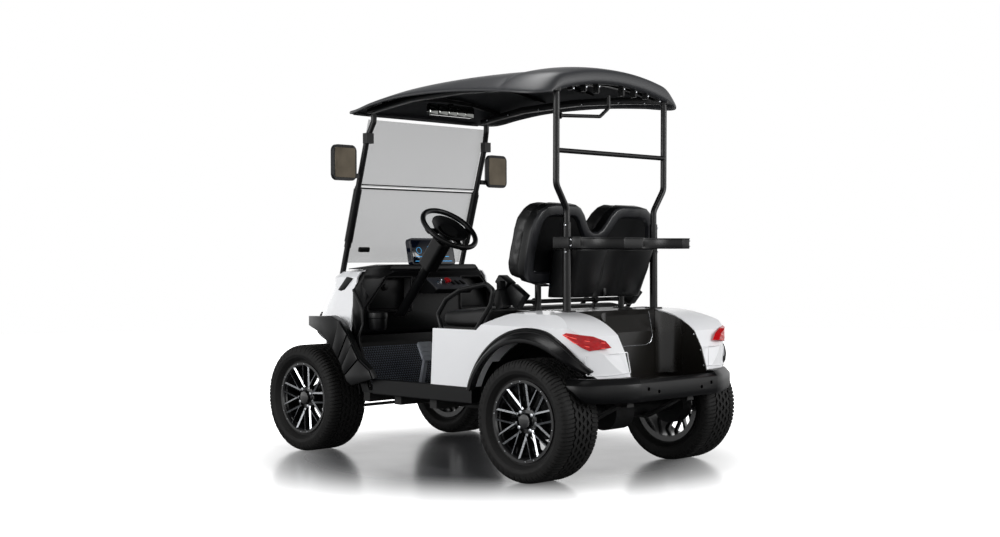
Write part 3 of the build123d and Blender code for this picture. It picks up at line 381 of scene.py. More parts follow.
looks = {
    # clear-coated ABS body panels: clean white with a deep even gloss
    "glossWhiteAbs": surface("#f4f5f7", "#eeeff2", 220, (0.22, 0.28), 9, 0.02, coat=0.8, ior=1.5),
    # thermoformed roof skin with a fine satin grain
    "satinCharcoalAbs": surface("#2f3033", "#292a2c", 160, (0.36, 0.44), 1.6, 0.08, ior=1.5),
    # injection-moulded polypropylene: near black with a pebbled grain that scatters highlights
    "grainedBlackPolypropylene": surface("#0c0c0d", "#08090a", 90, (0.30, 0.40), 1.4, 0.08, ior=1.49,
                                         specular=0.24),
    # acrylic-capped ABS sheet: smooth bronze black that mirrors softly
    "glossBronzeBlackAbs": surface("#0e0c0a", "#12100c", 260, (0.24, 0.32), 14, 0.03, coat=0.15, ior=1.49,
                                   specular=0.4),
    # powder-coated steel tube: orange peel under a half gloss
    "powderCoatedSteel": surface("#0a0a0b", "#0d0d0e", 60, (0.30, 0.38), 3, 0.05, ior=1.5, specular=0.28),
    # dipped chassis steel: flat black with grey dust
    "dippedChassisSteel": surface("#0c0c0c", "#131211", 70, (0.5, 0.7), 4, 0.1),
    # sand-cast iron: dark grey with a coarse skin
    "castIron": surface("#161618", "#101010", 40, (0.55, 0.75), 2.5, 0.4, metallic=0.4),
    # black-painted spring and damper steel
    "paintedSpringSteel": surface("#0f0f10", "#151413", 50, (0.38, 0.52), 3, 0.08),
    # gloss-painted cast aluminium wheel
    "glossBlackAlloy": surface("#0c0c0d", "#101012", 80, (0.16, 0.22), 8, 0.02, coat=0.6, ior=1.5),
    # milled aluminium left bare: bright with fine cutter marks
    "milledAluminium": surface("#c9cbce", "#b4b7bb", 12, (0.22, 0.34), 0.8, 0.02, metallic=1.0),
    # tyre compound: matt brown black with road dust in patches
    "tyreRubber": surface("#0b0b0b", "#100f0e", 45, (0.62, 0.80), 2.2, 0.15, specular=0.35),
    # grey-tinted polycarbonate sheet
    "tintedPolycarbonate": surface("#8c8f91", "#929597", 300, (0.03, 0.06), 40, 0.01, alpha=0.36, ior=1.58),
    # silvered convex mirror glass with a faint haze
    "silveredGlass": surface("#747573", "#6a6b69", 60, (0.02, 0.06), 30, 0.005, metallic=1.0),
    # pressure-formed seat vinyl: leather cells of about 1.5 mm, soft sheen
    "seatVinyl": surface("#0c0c0d", "#09090a", 70, (0.42, 0.54), 2.0, 0.2, cells=True, specular=0.45),
    # sheet-moulded seat board and pan: plain matt black
    "seatBoardPlastic": surface("#0b0b0b", "#0f0e0e", 50, (0.6, 0.7), 3, 0.1),
    # satin polypropylene edge band of the seat shell, a shade lighter than the rest
    "satinShellGrey": surface("#191a1e", "#141518", 120, (0.30, 0.38), 1.8, 0.06, ior=1.49),
    # moulded rubber mat, blue grey with scuffs
    "blueGreyMat": surface("#646c78", "#535a64", 60, (0.45, 0.6), 2.4, 0.1, specular=0.2),
    # grey moulded pedal rubber
    "pedalGrey": surface("#9a9ea6", "#8a8e95", 40, (0.45, 0.58), 1.8, 0.12),
    # speckled fascia film
    "graniteGrain": surface("#55565c", "#222327", 3, (0.4, 0.5), 1.2, 0.08),
    # red knob plastic
    "redKnobAbs": surface("#c8101a", "#a80c14", 20, (0.25, 0.32), 5, 0.02),
    # pale line moulded in the red lens
    # painted highlight on the red lens: a pale red line with a faint glow
    "paintedLensHighlight": surface("#ff6a60", "#f04a44", 12, (0.12, 0.2), 6, 0.02, glow=0.25),
    # lit picture on the display
    "displayCyan": surface("#3fb8e8", "#2a7fd0", 25, (0.3, 0.4), 9, 0.005, glow=0.8),
    # bronze-grey convex mirror
    "bronzeMirrorGlass": surface("#5e574c", "#3a352e", 90, (0.05, 0.1), 30, 0.005, metallic=1.0),
    # painted steel battery case
    "batteryCasePaint": surface("#3a3c40", "#34363a", 80, (0.4, 0.5), 3, 0.05),
    # dyed acrylic lamp lens: saturated red with a wet gloss
    "redAcrylic": surface("#d01019", "#8a0a10", 18, (0.06, 0.12), 14, 1.2, cells=True, coat=0.1, ior=1.49,
                          specular=0.3, glow=0.05),
    # clear polycarbonate lamp cover over a silvered bowl
    "clearLampPolycarbonate": surface("#dfe3e6", "#c9cfd4", 20, (0.05, 0.1), 12, 0.6, cells=True,
                                      ior=1.58, coat=0.5),
    # display cover glass, off-black behind the picture
    "displayGlass": surface("#070b14", "#0a1020", 40, (0.05, 0.08), 20, 0.005, ior=1.5),
}
materials = {name: finish(name, look) for name, look in looks.items()}

nodeLooks = {
    "glossWhiteAbs": ["front_cowl", "rear_body_left", "rear_body_right"],
    "satinCharcoalAbs": ["roof"],
    blackPlastic: [
        "floor_pan", "sills", "front_flares", "front_bumper", "dashboard", "cup_holders", "switch_panel",
        "steering_column", "steering_wheel", "pedals", "seat_pod", "seat_back_shell", "seat_belts",
        "armrests", "rear_flares", "sweater_basket", "rear_bumper", "side_mirrors"],
    "glossBronzeBlackAbs": ["bag_well", "bag_holder", "headlights"],
    "powderCoatedSteel": ["seat_back_stand", "rear_struts", "roof_handle", "front_struts"],
    "dippedChassisSteel": ["chassis_rails", "chassis_crossmembers", "front_axle"],
    "castIron": ["rear_axle_and_motor", "knuckle_left", "knuckle_right"],
    "paintedSpringSteel": ["leaf_springs", "shock_absorbers", "tie_rod"],
    "glossBlackAlloy": ["rim_front_left", "rim_front_right", "rim_rear_left", "rim_rear_right"],
    "tyreRubber": ["tyre_front_left", "tyre_front_right", "tyre_rear_left", "tyre_rear_right"],
    "tintedPolycarbonate": ["windshield_lower", "windshield_upper"],
    "silveredGlass": ["interior_mirror"],
    "seatVinyl": ["seat_cushion", "seat_back_cushions"],
    "seatBoardPlastic": ["seat_base"],
    "batteryCasePaint": ["battery_pack"],
    "redAcrylic": ["tail_lights"],
    "displayGlass": ["display_screen"],
}
for look, members in nodeLooks.items():
    for member in members:
        nodes[member].data.materials.clear()
        nodes[member].data.materials.append(materials[look])
print("materials done")

# wheels, modelled once around the origin with the outside facing +Y
wheelSize = {"pairs": 9, "spacing": 50, "root": 52, "reach": 178, "rootTop": 80, "reachTop": 97, "depth": 26,
             "rivetRing": 187.5, "nutRing": 50.8}
# blockWidth is a share of one pitch, blockLean is in degrees
tyreSize = {"pitches": 44, "floor": 280.0, "top": 291.6, "swing": 6.5, "ribs": (-42, -14, 14, 42),
            "ribWidth": 18, "blockWidth": 0.2, "blockLean": 1.6}
onAxle = ((0, 0, 0), (0, 1, 0), (1, 0, 0))  # centre, axis and radial of what turns with the wheel


def spokeBar(side):
    # one bar of a pair and the milled strip on its slanted face
    bar, strip = [], []
    middle = side * wheelSize["spacing"] / 2
    for end in ("root", "reach"):
        radius, top = wheelSize[end], wheelSize[end + "Top"]
        low = top - wheelSize["depth"]
        bar += [(radius, y, middle + side * z)
                for y, z in ((low, 8), (top - 4.5, 5.6), (low, -8), (top, -4.6))]
        strip += [(radius, top + y, middle + side * z)
                  for y, z in ((-4.9, 4.6), (-3.7, 4.6), (-1.0, -3.8), (0.4, -3.8))]
    return cornerPiece("spokeBar", bar, 0.9, 2), cornerPiece("spokeStrip", strip, 0)


bars, strips = zip(spokeBar(1), spokeBar(-1))
spokes = around(joined("wheelSpokes", list(bars)), wheelSize["pairs"])
milled = around(joined("wheelMilledStrips", list(strips)), wheelSize["pairs"])
barrel = lathePiece("wheelBarrel", [
    (168, -99), (195, -99.5), (196, -93), (184, -90), (181, -60), (173, -40), (173, 40), (181, 52),
    (181, 88), (184, 92), (195, 93), (196, 96), (194.5, 99.5), (181.5, 99.5), (179.5, 97), (174, 92),
    (172.5, 82), (168, 76)], *onAxle, 96)
hub = lathePiece("wheelHub", [
    (0, 30), (62, 30), (64, 52), (60, 66), (38, 68), (36, 70), (35, 86), (33, 89.5), (22, 92), (0, 93)],
    *onAxle)
wheelBody = joined("wheelAlloy", [spokes, barrel, hub])
rivet = lathePiece("wheelRivets", [(0, 99), (3.4, 99), (3.4, 100.2), (2.4, 101.4), (0, 101.8)],
                   (wheelSize["rivetRing"], 0, 0), (0, 1, 0), (1, 0, 0), 10)
twinTurn = Matrix.Rotation(math.radians(17), 4, "Y")
rivets = around(joined("wheelRivets", [rivet, copied(rivet, twinTurn)]), 6, start=math.radians(-18))
deselect()
bpy.ops.mesh.primitive_cylinder_add(vertices=6, radius=9.8 * mm, depth=22 * mm, rotation=(math.pi / 2, 0, 0),
                                    location=(wheelSize["nutRing"] * mm, 72 * mm, 0))
nut = named("wheelNuts")
freeze(nut)
roundEdges(nut, 1.2, 2)
wheelBolts = joined("wheelBolts", [rivets, around(nut, 4, start=math.radians(45))])

# tyre: carcass, zigzag ribs, two rows of staggered shoulder blocks and sidewall lugs
tyreOutside = [(283, 92), (281, 104), (276, 112), (268, 120), (258, 124.5), (246, 125), (243, 126),
               (239, 126), (236, 124.5), (224, 120), (212, 104), (206, 94), (196, 92), (183, 91)]
tyreInside = [(182.5, 76), (206, 74), (236, 108), (264, 100), (272, 80)]
otherOutside, otherInside = [[(r, -y) for r, y in reversed(half)] for half in (tyreOutside, tyreInside)]
carcassProfile = otherOutside + [(283, 0)] + tyreOutside + tyreInside + otherInside
carcass = lathePiece("tyreCarcass", carcassProfile, *onAxle, 88)
treadParts = [carcass]
zigzags = 2 * tyreSize["pitches"]
ribHalf, ribFoot = tyreSize["ribWidth"] / 2, tyreSize["floor"] - 1
for k, ribY in enumerate(tyreSize["ribs"]):
    rows = []
    for i in range(zigzags + 1):
        angle = math.pi * 2 * (i % zigzags) / zigzags
        shift = ribY + tyreSize["swing"] * (1 if (i + k) % 2 else -1)
        section = [(ribFoot, -ribHalf - 0.8), (tyreSize["top"], -ribHalf), (tyreSize["top"], ribHalf),
                   (ribFoot, ribHalf + 0.8)]
        rows.append([(r * math.cos(angle), shift + y, r * math.sin(angle)) for r, y in section])
    treadParts.append(faceOut(gridPiece("tyreRib", rows)))
pitch = 360 / tyreSize["pitches"]


def shoulderBlock(centre, reach):
    # block that wraps over the shoulder: stations of (y, radius), with its place round the tyre in degrees
    width = pitch * tyreSize["blockWidth"]
    rows = []
    for y, radius in reach:
        ring = []
        for angle, lower in ((-width, 9), (-width * 0.86, 0), (width * 0.86, 0), (width, 9)):
            turn = math.radians(centre + angle + tyreSize["blockLean"] * (y - 60) / 60)
            r = radius - lower
            ring.append((r * math.cos(turn), y, r * math.sin(turn)))
        rows.append(ring)
    first = [rows[0][0], rows[0][0], rows[0][3], rows[0][3]]
    last = [(p[0] * 0.975, p[1] + 1, p[2] * 0.975) for p in rows[-1]]
    return faceOut(gridPiece("tyreBlock", [first] + rows + [last]))


longReach = [(62, 291.4), (84, 290.6), (100, 288.2), (112, 283), (120, 274.5), (125.5, 262)]
shortReach = [(58, 291.6), (80, 291.2), (96, 289.2), (108, 285), (117, 277), (121.5, 269)]
pitchBlocks = joined("tyreBlocks", [shoulderBlock(0, longReach), shoulderBlock(pitch * 0.5, shortReach)])
otherBlocks = copied(pitchBlocks, Matrix.Rotation(math.radians(pitch / 4), 4, "Y") @ mirrorY, "tyreBlocks")
lug = cornerPiece("tyreLug", [(r, y + out, w * k) for r, y, k in ((236, 122, 0.7), (264, 119, 1))
                              for w in (-7, 7) for out in (-2, 2.2)], 0.8, 1)
treadParts += [around(part, tyreSize["pitches"]) for part in (pitchBlocks, otherBlocks, lug)]
tyre = joined("tyre", treadParts)

# axle, side and turn in degrees of each wheel
wheelPlaces = {
    "front_left": (frontAxle, 1, 16.5), "front_right": (frontAxle, -1, 31),
    "rear_left": (rearAxle, 1, 7), "rear_right": (rearAxle, -1, 22),
}
for place, (x, side, turned) in wheelPlaces.items():
    put = Matrix.Translation(Vector((x, side * hubAcross, hubHeight)) * mm)
    if side < 0:
        put = put @ mirrorY
    turn = put @ Matrix.Rotation(math.radians(-turned), 4, "Y")
    body = f"wheel_{place}"
    for piece, name, look, slot, replacing, angle in (
            (wheelBody, "alloy_", "glossBlackAlloy", "wheel_alloy", [f"rim_{place}"], 30),
            (milled, "milled_", "milledAluminium", "wheel_alloy", [], 35),
            (wheelBolts, "bolts_", "milledAluminium", "wheel_alloy", [], 35),
            (tyre, "tread_", "tyreRubber", "tyre_rubber", [f"tyre_{place}"], 32)):
        finishPiece(copied(piece, turn, name + place), look, replacing, angle, body)
for piece in (wheelBody, milled, wheelBolts, tyre):
    bpy.data.objects.remove(piece)
print("wheels done")

# roof: one moulded skin with a side lip, a raised rear lobe and a deep rear face
# each row: x, half width, heights of the side edge, the shoulder and the crown
roofRows = [
    (621, 478, 1846, 1853, 1860), (612, 506, 1843, 1857, 1868), (585, 530, 1840, 1861, 1884),
    (540, 546, 1837, 1870, 1911), (470, 558, 1845, 1882, 1940), (400, 566, 1860, 1895, 1960),
    (280, 573, 1874, 1914, 1982), (160, 578, 1886, 1930, 1998), (-40, 580, 1889, 1942, 2007),
    (-250, 580, 1885, 1946, 2011), (-430, 579, 1872, 1943, 2008), (-560, 578, 1860, 1938, 2003),
    (-590, 575, 1857, 1926, 1992), (-612, 577, 1853, 1940, 2008), (-660, 574, 1847, 1942, 2011),
    (-720, 566, 1838, 1941, 2007), (-775, 550, 1833, 1938, 2000), (-812, 528, 1834, 1934, 1992),
    (-834, 500, 1838, 1929, 1984), (-842, 478, 1843, 1922, 1974),
]
roofArc = (0.86, 0.66, 0.44, 0.22, 0.0)  # places across the crown, as shares of the shoulder's
rearArch = {"low": 1843, "top": 1916, "drop": 74, "half": 488}  # lower edge of the deep rear face


def roofRow(x, half, edge, shoulder, crown):
    inner = half - 74
    side = [(half - 2, edge), (half, edge + 9), (half - 4, edge + 18), (inner, shoulder)]
    side += [(inner * t, crown - 1 - (crown - shoulder) * t ** 2.2) for t in roofArc]
    left = [(x, y, z) for y, z in side]
    return left + [(px, -y, z) for px, y, z in reversed(left[:-1])]


def archHeight(y):
    return max(rearArch["low"], rearArch["top"] - rearArch["drop"] * (abs(y) / rearArch["half"]) ** 2)


rows = [roofRow(*row) for row in roofRows]
frontLip = [(x + 3, y * 0.997, min(z, 1846) - 6) for x, y, z in rows[0]]
frontReturn = [(x - 26, y * 0.98, z + 3) for x, y, z in frontLip]
rearFace = [(-848, y * 0.985, min(z - 3, archHeight(y))) for x, y, z in rows[-1]]
rearReturn = [(-806, y * 0.97, z + 4) for x, y, z in rearFace]
roofSkin = thickened(gridPiece("roofSkin", [frontReturn, frontLip] + rows + [rearFace, rearReturn]), 7)
smoothing = roofSkin.modifiers.new("smooth", "SUBSURF")
smoothing.levels = smoothing.render_levels = 2
applyAll(roofSkin)
finishPiece(faceOut(roofSkin), "satinCharcoalAbs", ["roof"], 40)

# under the roof: cross ribs, side channels that carry the struts, and short ribs along the rear face
underRoof = []
ribLine = [(-1, 0), (-0.5, 34), (0, 46), (0.5, 34), (1, 0), (1, 14), (0.5, 52), (0, 64), (-0.5, 52),
           (-1, 14)]
ribSpots = [(-790, 1868, 0.72), (-640, 1905, 0.86), (-300, 1944, 0.9), (60, 1932, 0.9), (390, 1884, 0.86)]
for x, edge, width in ribSpots:
    line = [(x, 520 * width * across, edge + up) for across, up in ribLine]
    underRoof.append(outlinePiece("roofRib", line, (26, 0, 0), 1.5, 1))
channelLine = [(530, 1842), (430, 1858), (200, 1884), (-200, 1893), (-560, 1876), (-845, 1850), (-845, 1880),
               (-560, 1912), (-200, 1928), (200, 1918), (430, 1886), (530, 1868)]
channel = outlinePiece("roofChannel", [(x, 412, z) for x, z in channelLine], (0, 44, 0), 3, 2)
underRoof.append(bothSides(channel))
screwSpots = [(-827, 20 + 96 * k) for k in (-4, -3, -2, -1, 1, 2, 3)]
for x, y in screwSpots:
    underRoof.append(boxPiece("roofRib", (x - 4, y - 7, 1868), (x + 30, y + 7, archHeight(y) + 22), 1.5, 1))
finishPiece(joined("roofRibs", underRoof), blackPlastic)


def domeScrew(place, axis, radius=5.0):
    # small dome-headed screw with its head facing along the axis
    axis = Vector(axis).normalized()
    profile = [(0, -2), (radius, -2), (radius, radius * 0.2), (radius * 0.7, radius * 0.55),
               (0, radius * 0.7)]
    return lathePiece("screw", profile, place, axis, axis.orthogonal(), 12)


screws = [domeScrew((x - 6, y, archHeight(y) - 12), (-1, 0, 0)) for x, y in screwSpots]
for side in (1, -1):
    for x, z in ((470, 1852), (300, 1870), (60, 1882), (-260, 1884), (-520, 1874), (-700, 1858)):
        screws.append(domeScrew((x, side * 408, z + 10), (0, -side, 0), 4.5))

# seat backs; places on them are across, up and forward of the leaning back plane
lean = math.radians(12)
backOrigin = Vector((-600, 0, 940))
backUp = Vector((-math.sin(lean), 0, math.cos(lean)))
backForward = Vector((math.cos(lean), 0, math.sin(lean)))
onBack = leaningFace(backOrigin, backUp, backForward)
shellLine = [(0, 262), (22, 264), (48, 279), (74, 312), (100, 350), (134, 382), (176, 398), (330, 399),
             (386, 390), (432, 362), (462, 316), (476, 250), (481, 160), (480, 80), (468, 36), (440, 8),
             (400, 0), (190, 0), (150, 22), (0, 22)]
wholeShell = shellLine + [(-y, z) for y, z in reversed(shellLine[1:-1])]
seatShell = outlinePiece("seatShell", [onBack(y, z, -3) for y, z in wholeShell], -backForward * 45, 0)
pick(seatShell)
bpy.ops.object.mode_set(mode="EDIT")
bpy.ops.mesh.select_mode(type="FACE")
bpy.ops.mesh.select_all(action="DESELECT")
bpy.ops.object.mode_set(mode="OBJECT")
for face in seatShell.data.polygons:
    face.select = face.normal.dot(-backForward) > 0.9
bpy.ops.object.mode_set(mode="EDIT")
for thickness, depth in ((10, 10), (42, 2), (10, -16)):  # raised band round a sunk panel
    bpy.ops.mesh.inset(thickness=thickness * mm, depth=depth * mm)
bpy.ops.object.mode_set(mode="OBJECT")
roundEdges(seatShell, 3, 2, 28)
seatShell.data.materials.append(materials["satinShellGrey"])
seatShell.data.materials.append(materials[blackPlastic])
for face in seatShell.data.polygons:
    forward = (face.center / mm - backOrigin).dot(backForward)
    face.material_index = 1 if len(face.vertices) > 8 or forward > -47 else 0
finishPiece(seatShell, None, ["seat_back_shell"], 32)
for y in (250, -250):
    for across, up in ((0, 342), (-150, 60), (150, 60)):
        screws.append(domeScrew(onBack(y + across, up, -45), -backForward))


# cushions: covers blown up softly from a slightly smaller block
def inflated(piece, voxel, cap, pressure=4, frames=20):
    pick(piece)
    piece.data.remesh_voxel_size = voxel * mm
    bpy.ops.object.voxel_remesh()
    start = [vertex.co.copy() for vertex in piece.data.vertices]
    cloth = piece.modifiers.new("cover", "CLOTH")
    settings = cloth.settings
    settings.quality = 4
    settings.mass = 0.3
    settings.tension_stiffness = settings.compression_stiffness = 30
    settings.shear_stiffness = 12
    settings.bending_stiffness = 4
    settings.use_pressure = True
    settings.uniform_pressure_force = pressure
    settings.effector_weights.gravity = 0
    cloth.point_cache.frame_start = 1
    cloth.point_cache.frame_end = frames
    for frameNumber in range(1, frames + 1):
        bpy.context.scene.frame_set(frameNumber)
    applyAll(piece)
    bpy.context.scene.frame_set(1)
    for vertex, was in zip(piece.data.vertices, start):
        moved = vertex.co - was
        if moved.length > cap * mm:
            vertex.co = was + moved * (cap * mm / moved.length)
    easing = piece.modifiers.new("ease", "SMOOTH")
    easing.factor = 0.5
    easing.iterations = 6
    applyAll(piece)
    return piece


def insideLine(line, amount, centre):
    # the outline drawn in towards its centre by about the amount, in millimetres
    result = []
    for y, z in line:
        away = Vector((y - centre[0], z - centre[1]))
        away = away * (1 - amount / max(away.length, 1))
        result.append((centre[0] + away.x, centre[1] + away.y))
    return result


def finer(line, step):
    result = []
    for (a, b), (c, d) in zip(line, line[1:] + line[:1]):
        count = max(1, round(math.hypot(c - a, d - b) / step))
        result += [(a + (c - a) * k / count, b + (d - b) * k / count) for k in range(count)]
    return result


def hugged(piece, place):
    # nearest place on the cover, in millimetres
    return piece.closest_point_on_mesh(Vector(place) * mm)[1] / mm


backLine = [(34, 40), (34, 250), (50, 300), (84, 346), (126, 380), (176, 396), (330, 396), (384, 386),
            (430, 356), (460, 312), (474, 250), (479, 160), (478, 80), (464, 34), (436, 8), (400, 0),
            (74, 0), (46, 12)]
backMiddle = (256, 200)
for side, name in ((1, "Left"), (-1, "Right")):
    line = [onBack(side * y, z, 4) for y, z in insideLine(backLine, 3, backMiddle)]
    block = outlinePiece(f"backCushion{name}", line, backForward * 82, 24, 4)
    faceOut(block)
    inflated(block, 8, 10)
    finishPiece(block, "seatVinyl", ["seat_back_cushions"] if side > 0 else [], 60)
    seam = finer(insideLine(backLine, 4, backMiddle), 25)
    piping = [hugged(block, onBack(side * y, z, 74)) for y, z in seam]
    finishPiece(tubePiece(f"backPiping{name}", piping, 2.6, 0, 2, True), "seatVinyl")

seatSide = [(-112, 510, 720), (-116, 510, 784), (-300, 510, 798), (-470, 510, 812), (-424, 510, 720)]
seatBlock = outlinePiece("seatCushion", seatSide, (0, -1020, 0), 18, 4)
faceOut(seatBlock)
inflated(seatBlock, 9, 9)
finishPiece(seatBlock, "seatVinyl", ["seat_cushion"], 60, "seat")
print("cushions done")

# sweater basket: two bulged bays on the rear face, a rolled rim and a bracket under the middle
rimLine = [(300, -682), (318, -712), (318, -800), (296, -838), (262, -852), (96, -852), (66, -838),
           (34, -826), (0, -826)]
footLine = [(276, -634), (290, -660), (290, -736), (272, -764), (242, -778), (112, -778), (84, -764),
            (44, -752), (0, -752)]
levels = [(1098, 0.0), (1092, 0.0), (1040, 0.22), (960, 0.56), (884, 0.92), (866, 1.0)]


def basketRow(z, t, drawIn=0.0):
    half = [(a[0] + (b[0] - a[0]) * t, a[1] + (b[1] - a[1]) * t) for a, b in zip(rimLine, footLine)]
    ring = half + [(-y, x) for y, x in reversed(half[:-1])]
    return [(x + drawIn * 0.4, y * (1 - drawIn / 300), z) for y, x in ring]


rimRow = [(x - 10 if abs(y) < 300 else x, y * 1.035, 1096) for x, y, z in basketRow(1098, 0.0)]
basket = gridPiece("basket", [rimRow] + [basketRow(z, t) for z, t in levels] + [basketRow(863, 1.0, 14)])
floorPlate = outlinePiece("basketFloor", basketRow(864, 1.0, 8), (0, 0, 5), 0)
frontWall = cornerPiece("basketFront", [(x + wall, side * y, z) for wall in (0, 5) for side in (-1, 1)
                                        for x, y, z in ((-646, 276, 866), (-686, 300, 1092))], 0)
roundEdges(thickened(basket, 4), 3, 2, 25)
bracket = boxPiece("basketBracket", (-768, -10, 868), (-748, 10, 906), 3, 2)
basket = joined("basket", [basket, floorPlate, frontWall, bracket])
finishPiece(basket, blackPlastic, ["sweater_basket"], 32)

# bag holder: a moulded band round two scallops, hung on the rear posts
holderLine = [(-952, 456)]
for y in (236, -236):
    for k in range(9):
        angle = math.radians(62 - 124 * k / 8)
        holderLine.append((max(-952, -1124 + 250 * math.cos(angle)), y + 250 * math.sin(angle) * 0.9))
holderLine += [(-952, -456), (-940, -470), (-842, -470), (-834, -462), (-834, 462), (-842, 470), (-940, 470)]
holder = outlinePiece("bagHolder", [(x, y, 1102) for x, y in holderLine], (0, 0, 50), 2.5, 2)
flange = outlinePiece("bagHolderFlange", [(x + (-3 if x < -850 else 0), y, 1150) for x, y in holderLine],
                      (0, 0, 6), 1.5, 2)
finishPiece(joined("bagHolder", [holder, flange]), blackPlastic, ["bag_holder"], 32)
for z in (1114, 1142):
    for side in (-1, 1):
        screws.append(domeScrew((-948, side * 463, z), (-0.6, side * 0.8, 0), 4))
print("upper pieces done")

# front wheel arch flares: a liner round the wheel and a wing of stepped blocks
wingBack = [(902, 740), (700, 748), (600, 751), (535, 728), (465, 655), (430, 604), (378, 526), (290, 474),
            (266, 427)]
wingFront = [(902, 690), (700, 652), (640, 612), (590, 575), (545, 520), (515, 478), (492, 436), (474, 404),
             (432, 384)]
# behind leanFrom the wing leans towards the body, and ahead of cutFrom its end is cut back in plan
wingShape = {"leanFrom": 0.72, "leanReach": 0.12, "lean": 0.72, "cutFrom": 790, "cut": 0.72}


def wingBlock(first, last, low, high, grow, edge):
    outline = wingBack[first:last + 1] + list(reversed(wingFront[first:last + 1]))
    middle = Vector((sum(x for x, z in outline) / len(outline), sum(z for x, z in outline) / len(outline)))
    points = []
    for x, z in outline:
        away = Vector((x, z)) - middle
        away = away * (1 + grow / away.length)
        points.append((middle.x + away.x, low, middle.y + away.y))
    block = outlinePiece("flareBlock", points, (0, high - low, 0), edge, 2)
    for vertex in block.data.vertices:
        behind = wingShape["leanFrom"] - vertex.co.x
        if behind > 0:
            share = min(1, behind / wingShape["leanReach"])
            vertex.co.x += wingShape["lean"] * (high * mm - vertex.co.y) * share
        ahead = vertex.co.x * 1000 - wingShape["cutFrom"]
        if ahead > 0:
            vertex.co.y = min(vertex.co.y, (high - 4 - ahead * wingShape["cut"]) * mm)
    return block


def archSheet(axle, radius, first, last, across):
    # liner sheet bent round a wheel, from one angle in degrees to another
    rows = []
    for k in range(25):
        turn = math.radians(first + (last - first) * k / 24)
        x, z = axle + radius * math.cos(turn), hubHeight + radius * math.sin(turn)
        rows.append([(x, y, z) for y in across])
    return thickened(gridPiece("archLiner", rows), 5)


wing = [wingBlock(0, 8, 562, 640, -5, 3)]
for first, last, high in ((0, 3, 652), (3, 4, 656), (4, 5, 653), (5, 6, 656), (6, 8, 654)):
    wing.append(wingBlock(first, last, 566, high, -2.5, 5))
wing.append(archSheet(frontAxle, 389, 174, 90, (272, 400, 560)))
finishPiece(bothSides(joined("frontFlares", wing)), blackPlastic, ["front_flares"], 34)

# rear wheel arch flares: lip and step follow the body round the rear corner
bodyCorner = [(-940, 594), (-1000, 588), (-1040, 579), (-1070, 567), (-1100, 539), (-1122, 503),
              (-1136, 472), (-1160, 390)]


def sideAt(x):
    # half width of the body, which spreads a little from the doorway to the rear arch
    if x > bodyCorner[0][0]:
        return 588 + 6 * min(1, (-100 - x) / 840)
    for (x0, y0), (x1, y1) in zip(bodyCorner, bodyCorner[1:]):
        if x1 <= x:
            return y0 + (y1 - y0) * (x - x0) / (x1 - x0)
    return bodyCorner[-1][1]


# section of the flare: radius, and how far out of the body's side or of the lip's edge
flareStep = [(387, 2), (412, 1.2), (437, 2), (436, 10), (430, 16), (424, 18), (420, 15), (414, 17)]
flareLip = [(394, -8), (386, -1), (376, 0), (369, -2), (368, -7), (376, -20)]
flareInside = [(384, 14), (386.5, 6)]
flareRows = []
for k in range(49):
    angle = 19 + 124 * k / 48
    narrow = 1 - 0.62 * max(0, min(1, (angle - 104) / 36)) ** 1.2
    proud = 62 - 30 * max(0, (angle - 108) / 32) ** 1.4
    turn = math.radians(angle)
    side = min(594, sideAt(rearAxle + 396 * math.cos(turn)) + 6)
    ring = []
    for radius, out in flareStep + [(radius, proud + out) for radius, out in flareLip] + flareInside:
        radius = 386 + (radius - 386) * (narrow if radius > 386 else 1)
        ring.append((rearAxle + radius * math.cos(turn), side + out, hubHeight + radius * math.sin(turn)))
    flareRows.append(ring + ring[:1])
rearFlares = [faceOut(gridPiece("rearFlare", capped(flareRows)))]
for pad in ((64, 74), (80, 90), (96, 106)):
    # raised pads on the crown of the lip
    corners = []
    for turn in (math.radians(angle) for angle in pad):
        for radius, y in ((400, 621), (404, 621), (392, 643), (395, 643)):
            corners.append((rearAxle + radius * math.cos(turn), y, hubHeight + radius * math.sin(turn)))
    rearFlares.append(cornerPiece("flarePad", corners, 1.2, 1))
rearFlares.append(archSheet(rearAxle, 383, 19, 146, (388, 450, 512)))
finishPiece(bothSides(joined("rearFlares", rearFlares)), blackPlastic, ["rear_flares"], 34)

# rear bumper: chamfered top band, dipped in the middle, with its ends swept up
# each place: x, y and the height of the lower edge
bumperTop = 499
bumperPath = [(-1016, 600, 478), (-1040, 599, 450), (-1070, 592, 424), (-1100, 580, 402), (-1128, 560, 391),
              (-1150, 530, 387), (-1168, 490, 385), (-1196, 430, 385), (-1218, 380, 385), (-1234, 334, 385)]
bumperPath += [(-1239.4, y, 385) for y in (298, 296, 286, 150, 0)]
bumperPath += [(x, -y, low) for x, y, low in reversed(bumperPath[:-1])]
rows = []
for i, (x, y, low) in enumerate(bumperPath):
    before, after = bumperPath[max(0, i - 1)], bumperPath[min(len(bumperPath) - 1, i + 1)]
    along = Vector((after[0] - before[0], after[1] - before[1], 0)).normalized()
    inward = Vector((-along.y, along.x, 0))
    if inward.x < 0 and abs(y) < 500 or inward.y * y > 0:
        inward = -inward
    top = bumperTop if abs(y) > 297 else bumperTop - 15 if abs(y) < 290 else bumperTop - 8
    lift = min(1, (bumperTop - low) / 114)
    ring = [(62, top), (26, top), (2, 473), (0, 468), (0, low + 30 * lift), (5, low + 12 * lift), (16, low),
            (56, low), (62, low + 8)]
    rows.append([(x + inward.x * d, y + inward.y * d, z) for d, z in ring + ring[:1]])
bumper = faceOut(gridPiece("rearBumper", capped(rows)))
roundEdges(bumper, 2.2, 2, 30)
for y, z in ((246, 444), (167, 428)):
    for side in (1, -1):
        drilled(bumper, (-1240, side * y, z), 9.5, 50, 20, math.pi / 2)
finishPiece(bumper, blackPlastic, ["rear_bumper"], 32)
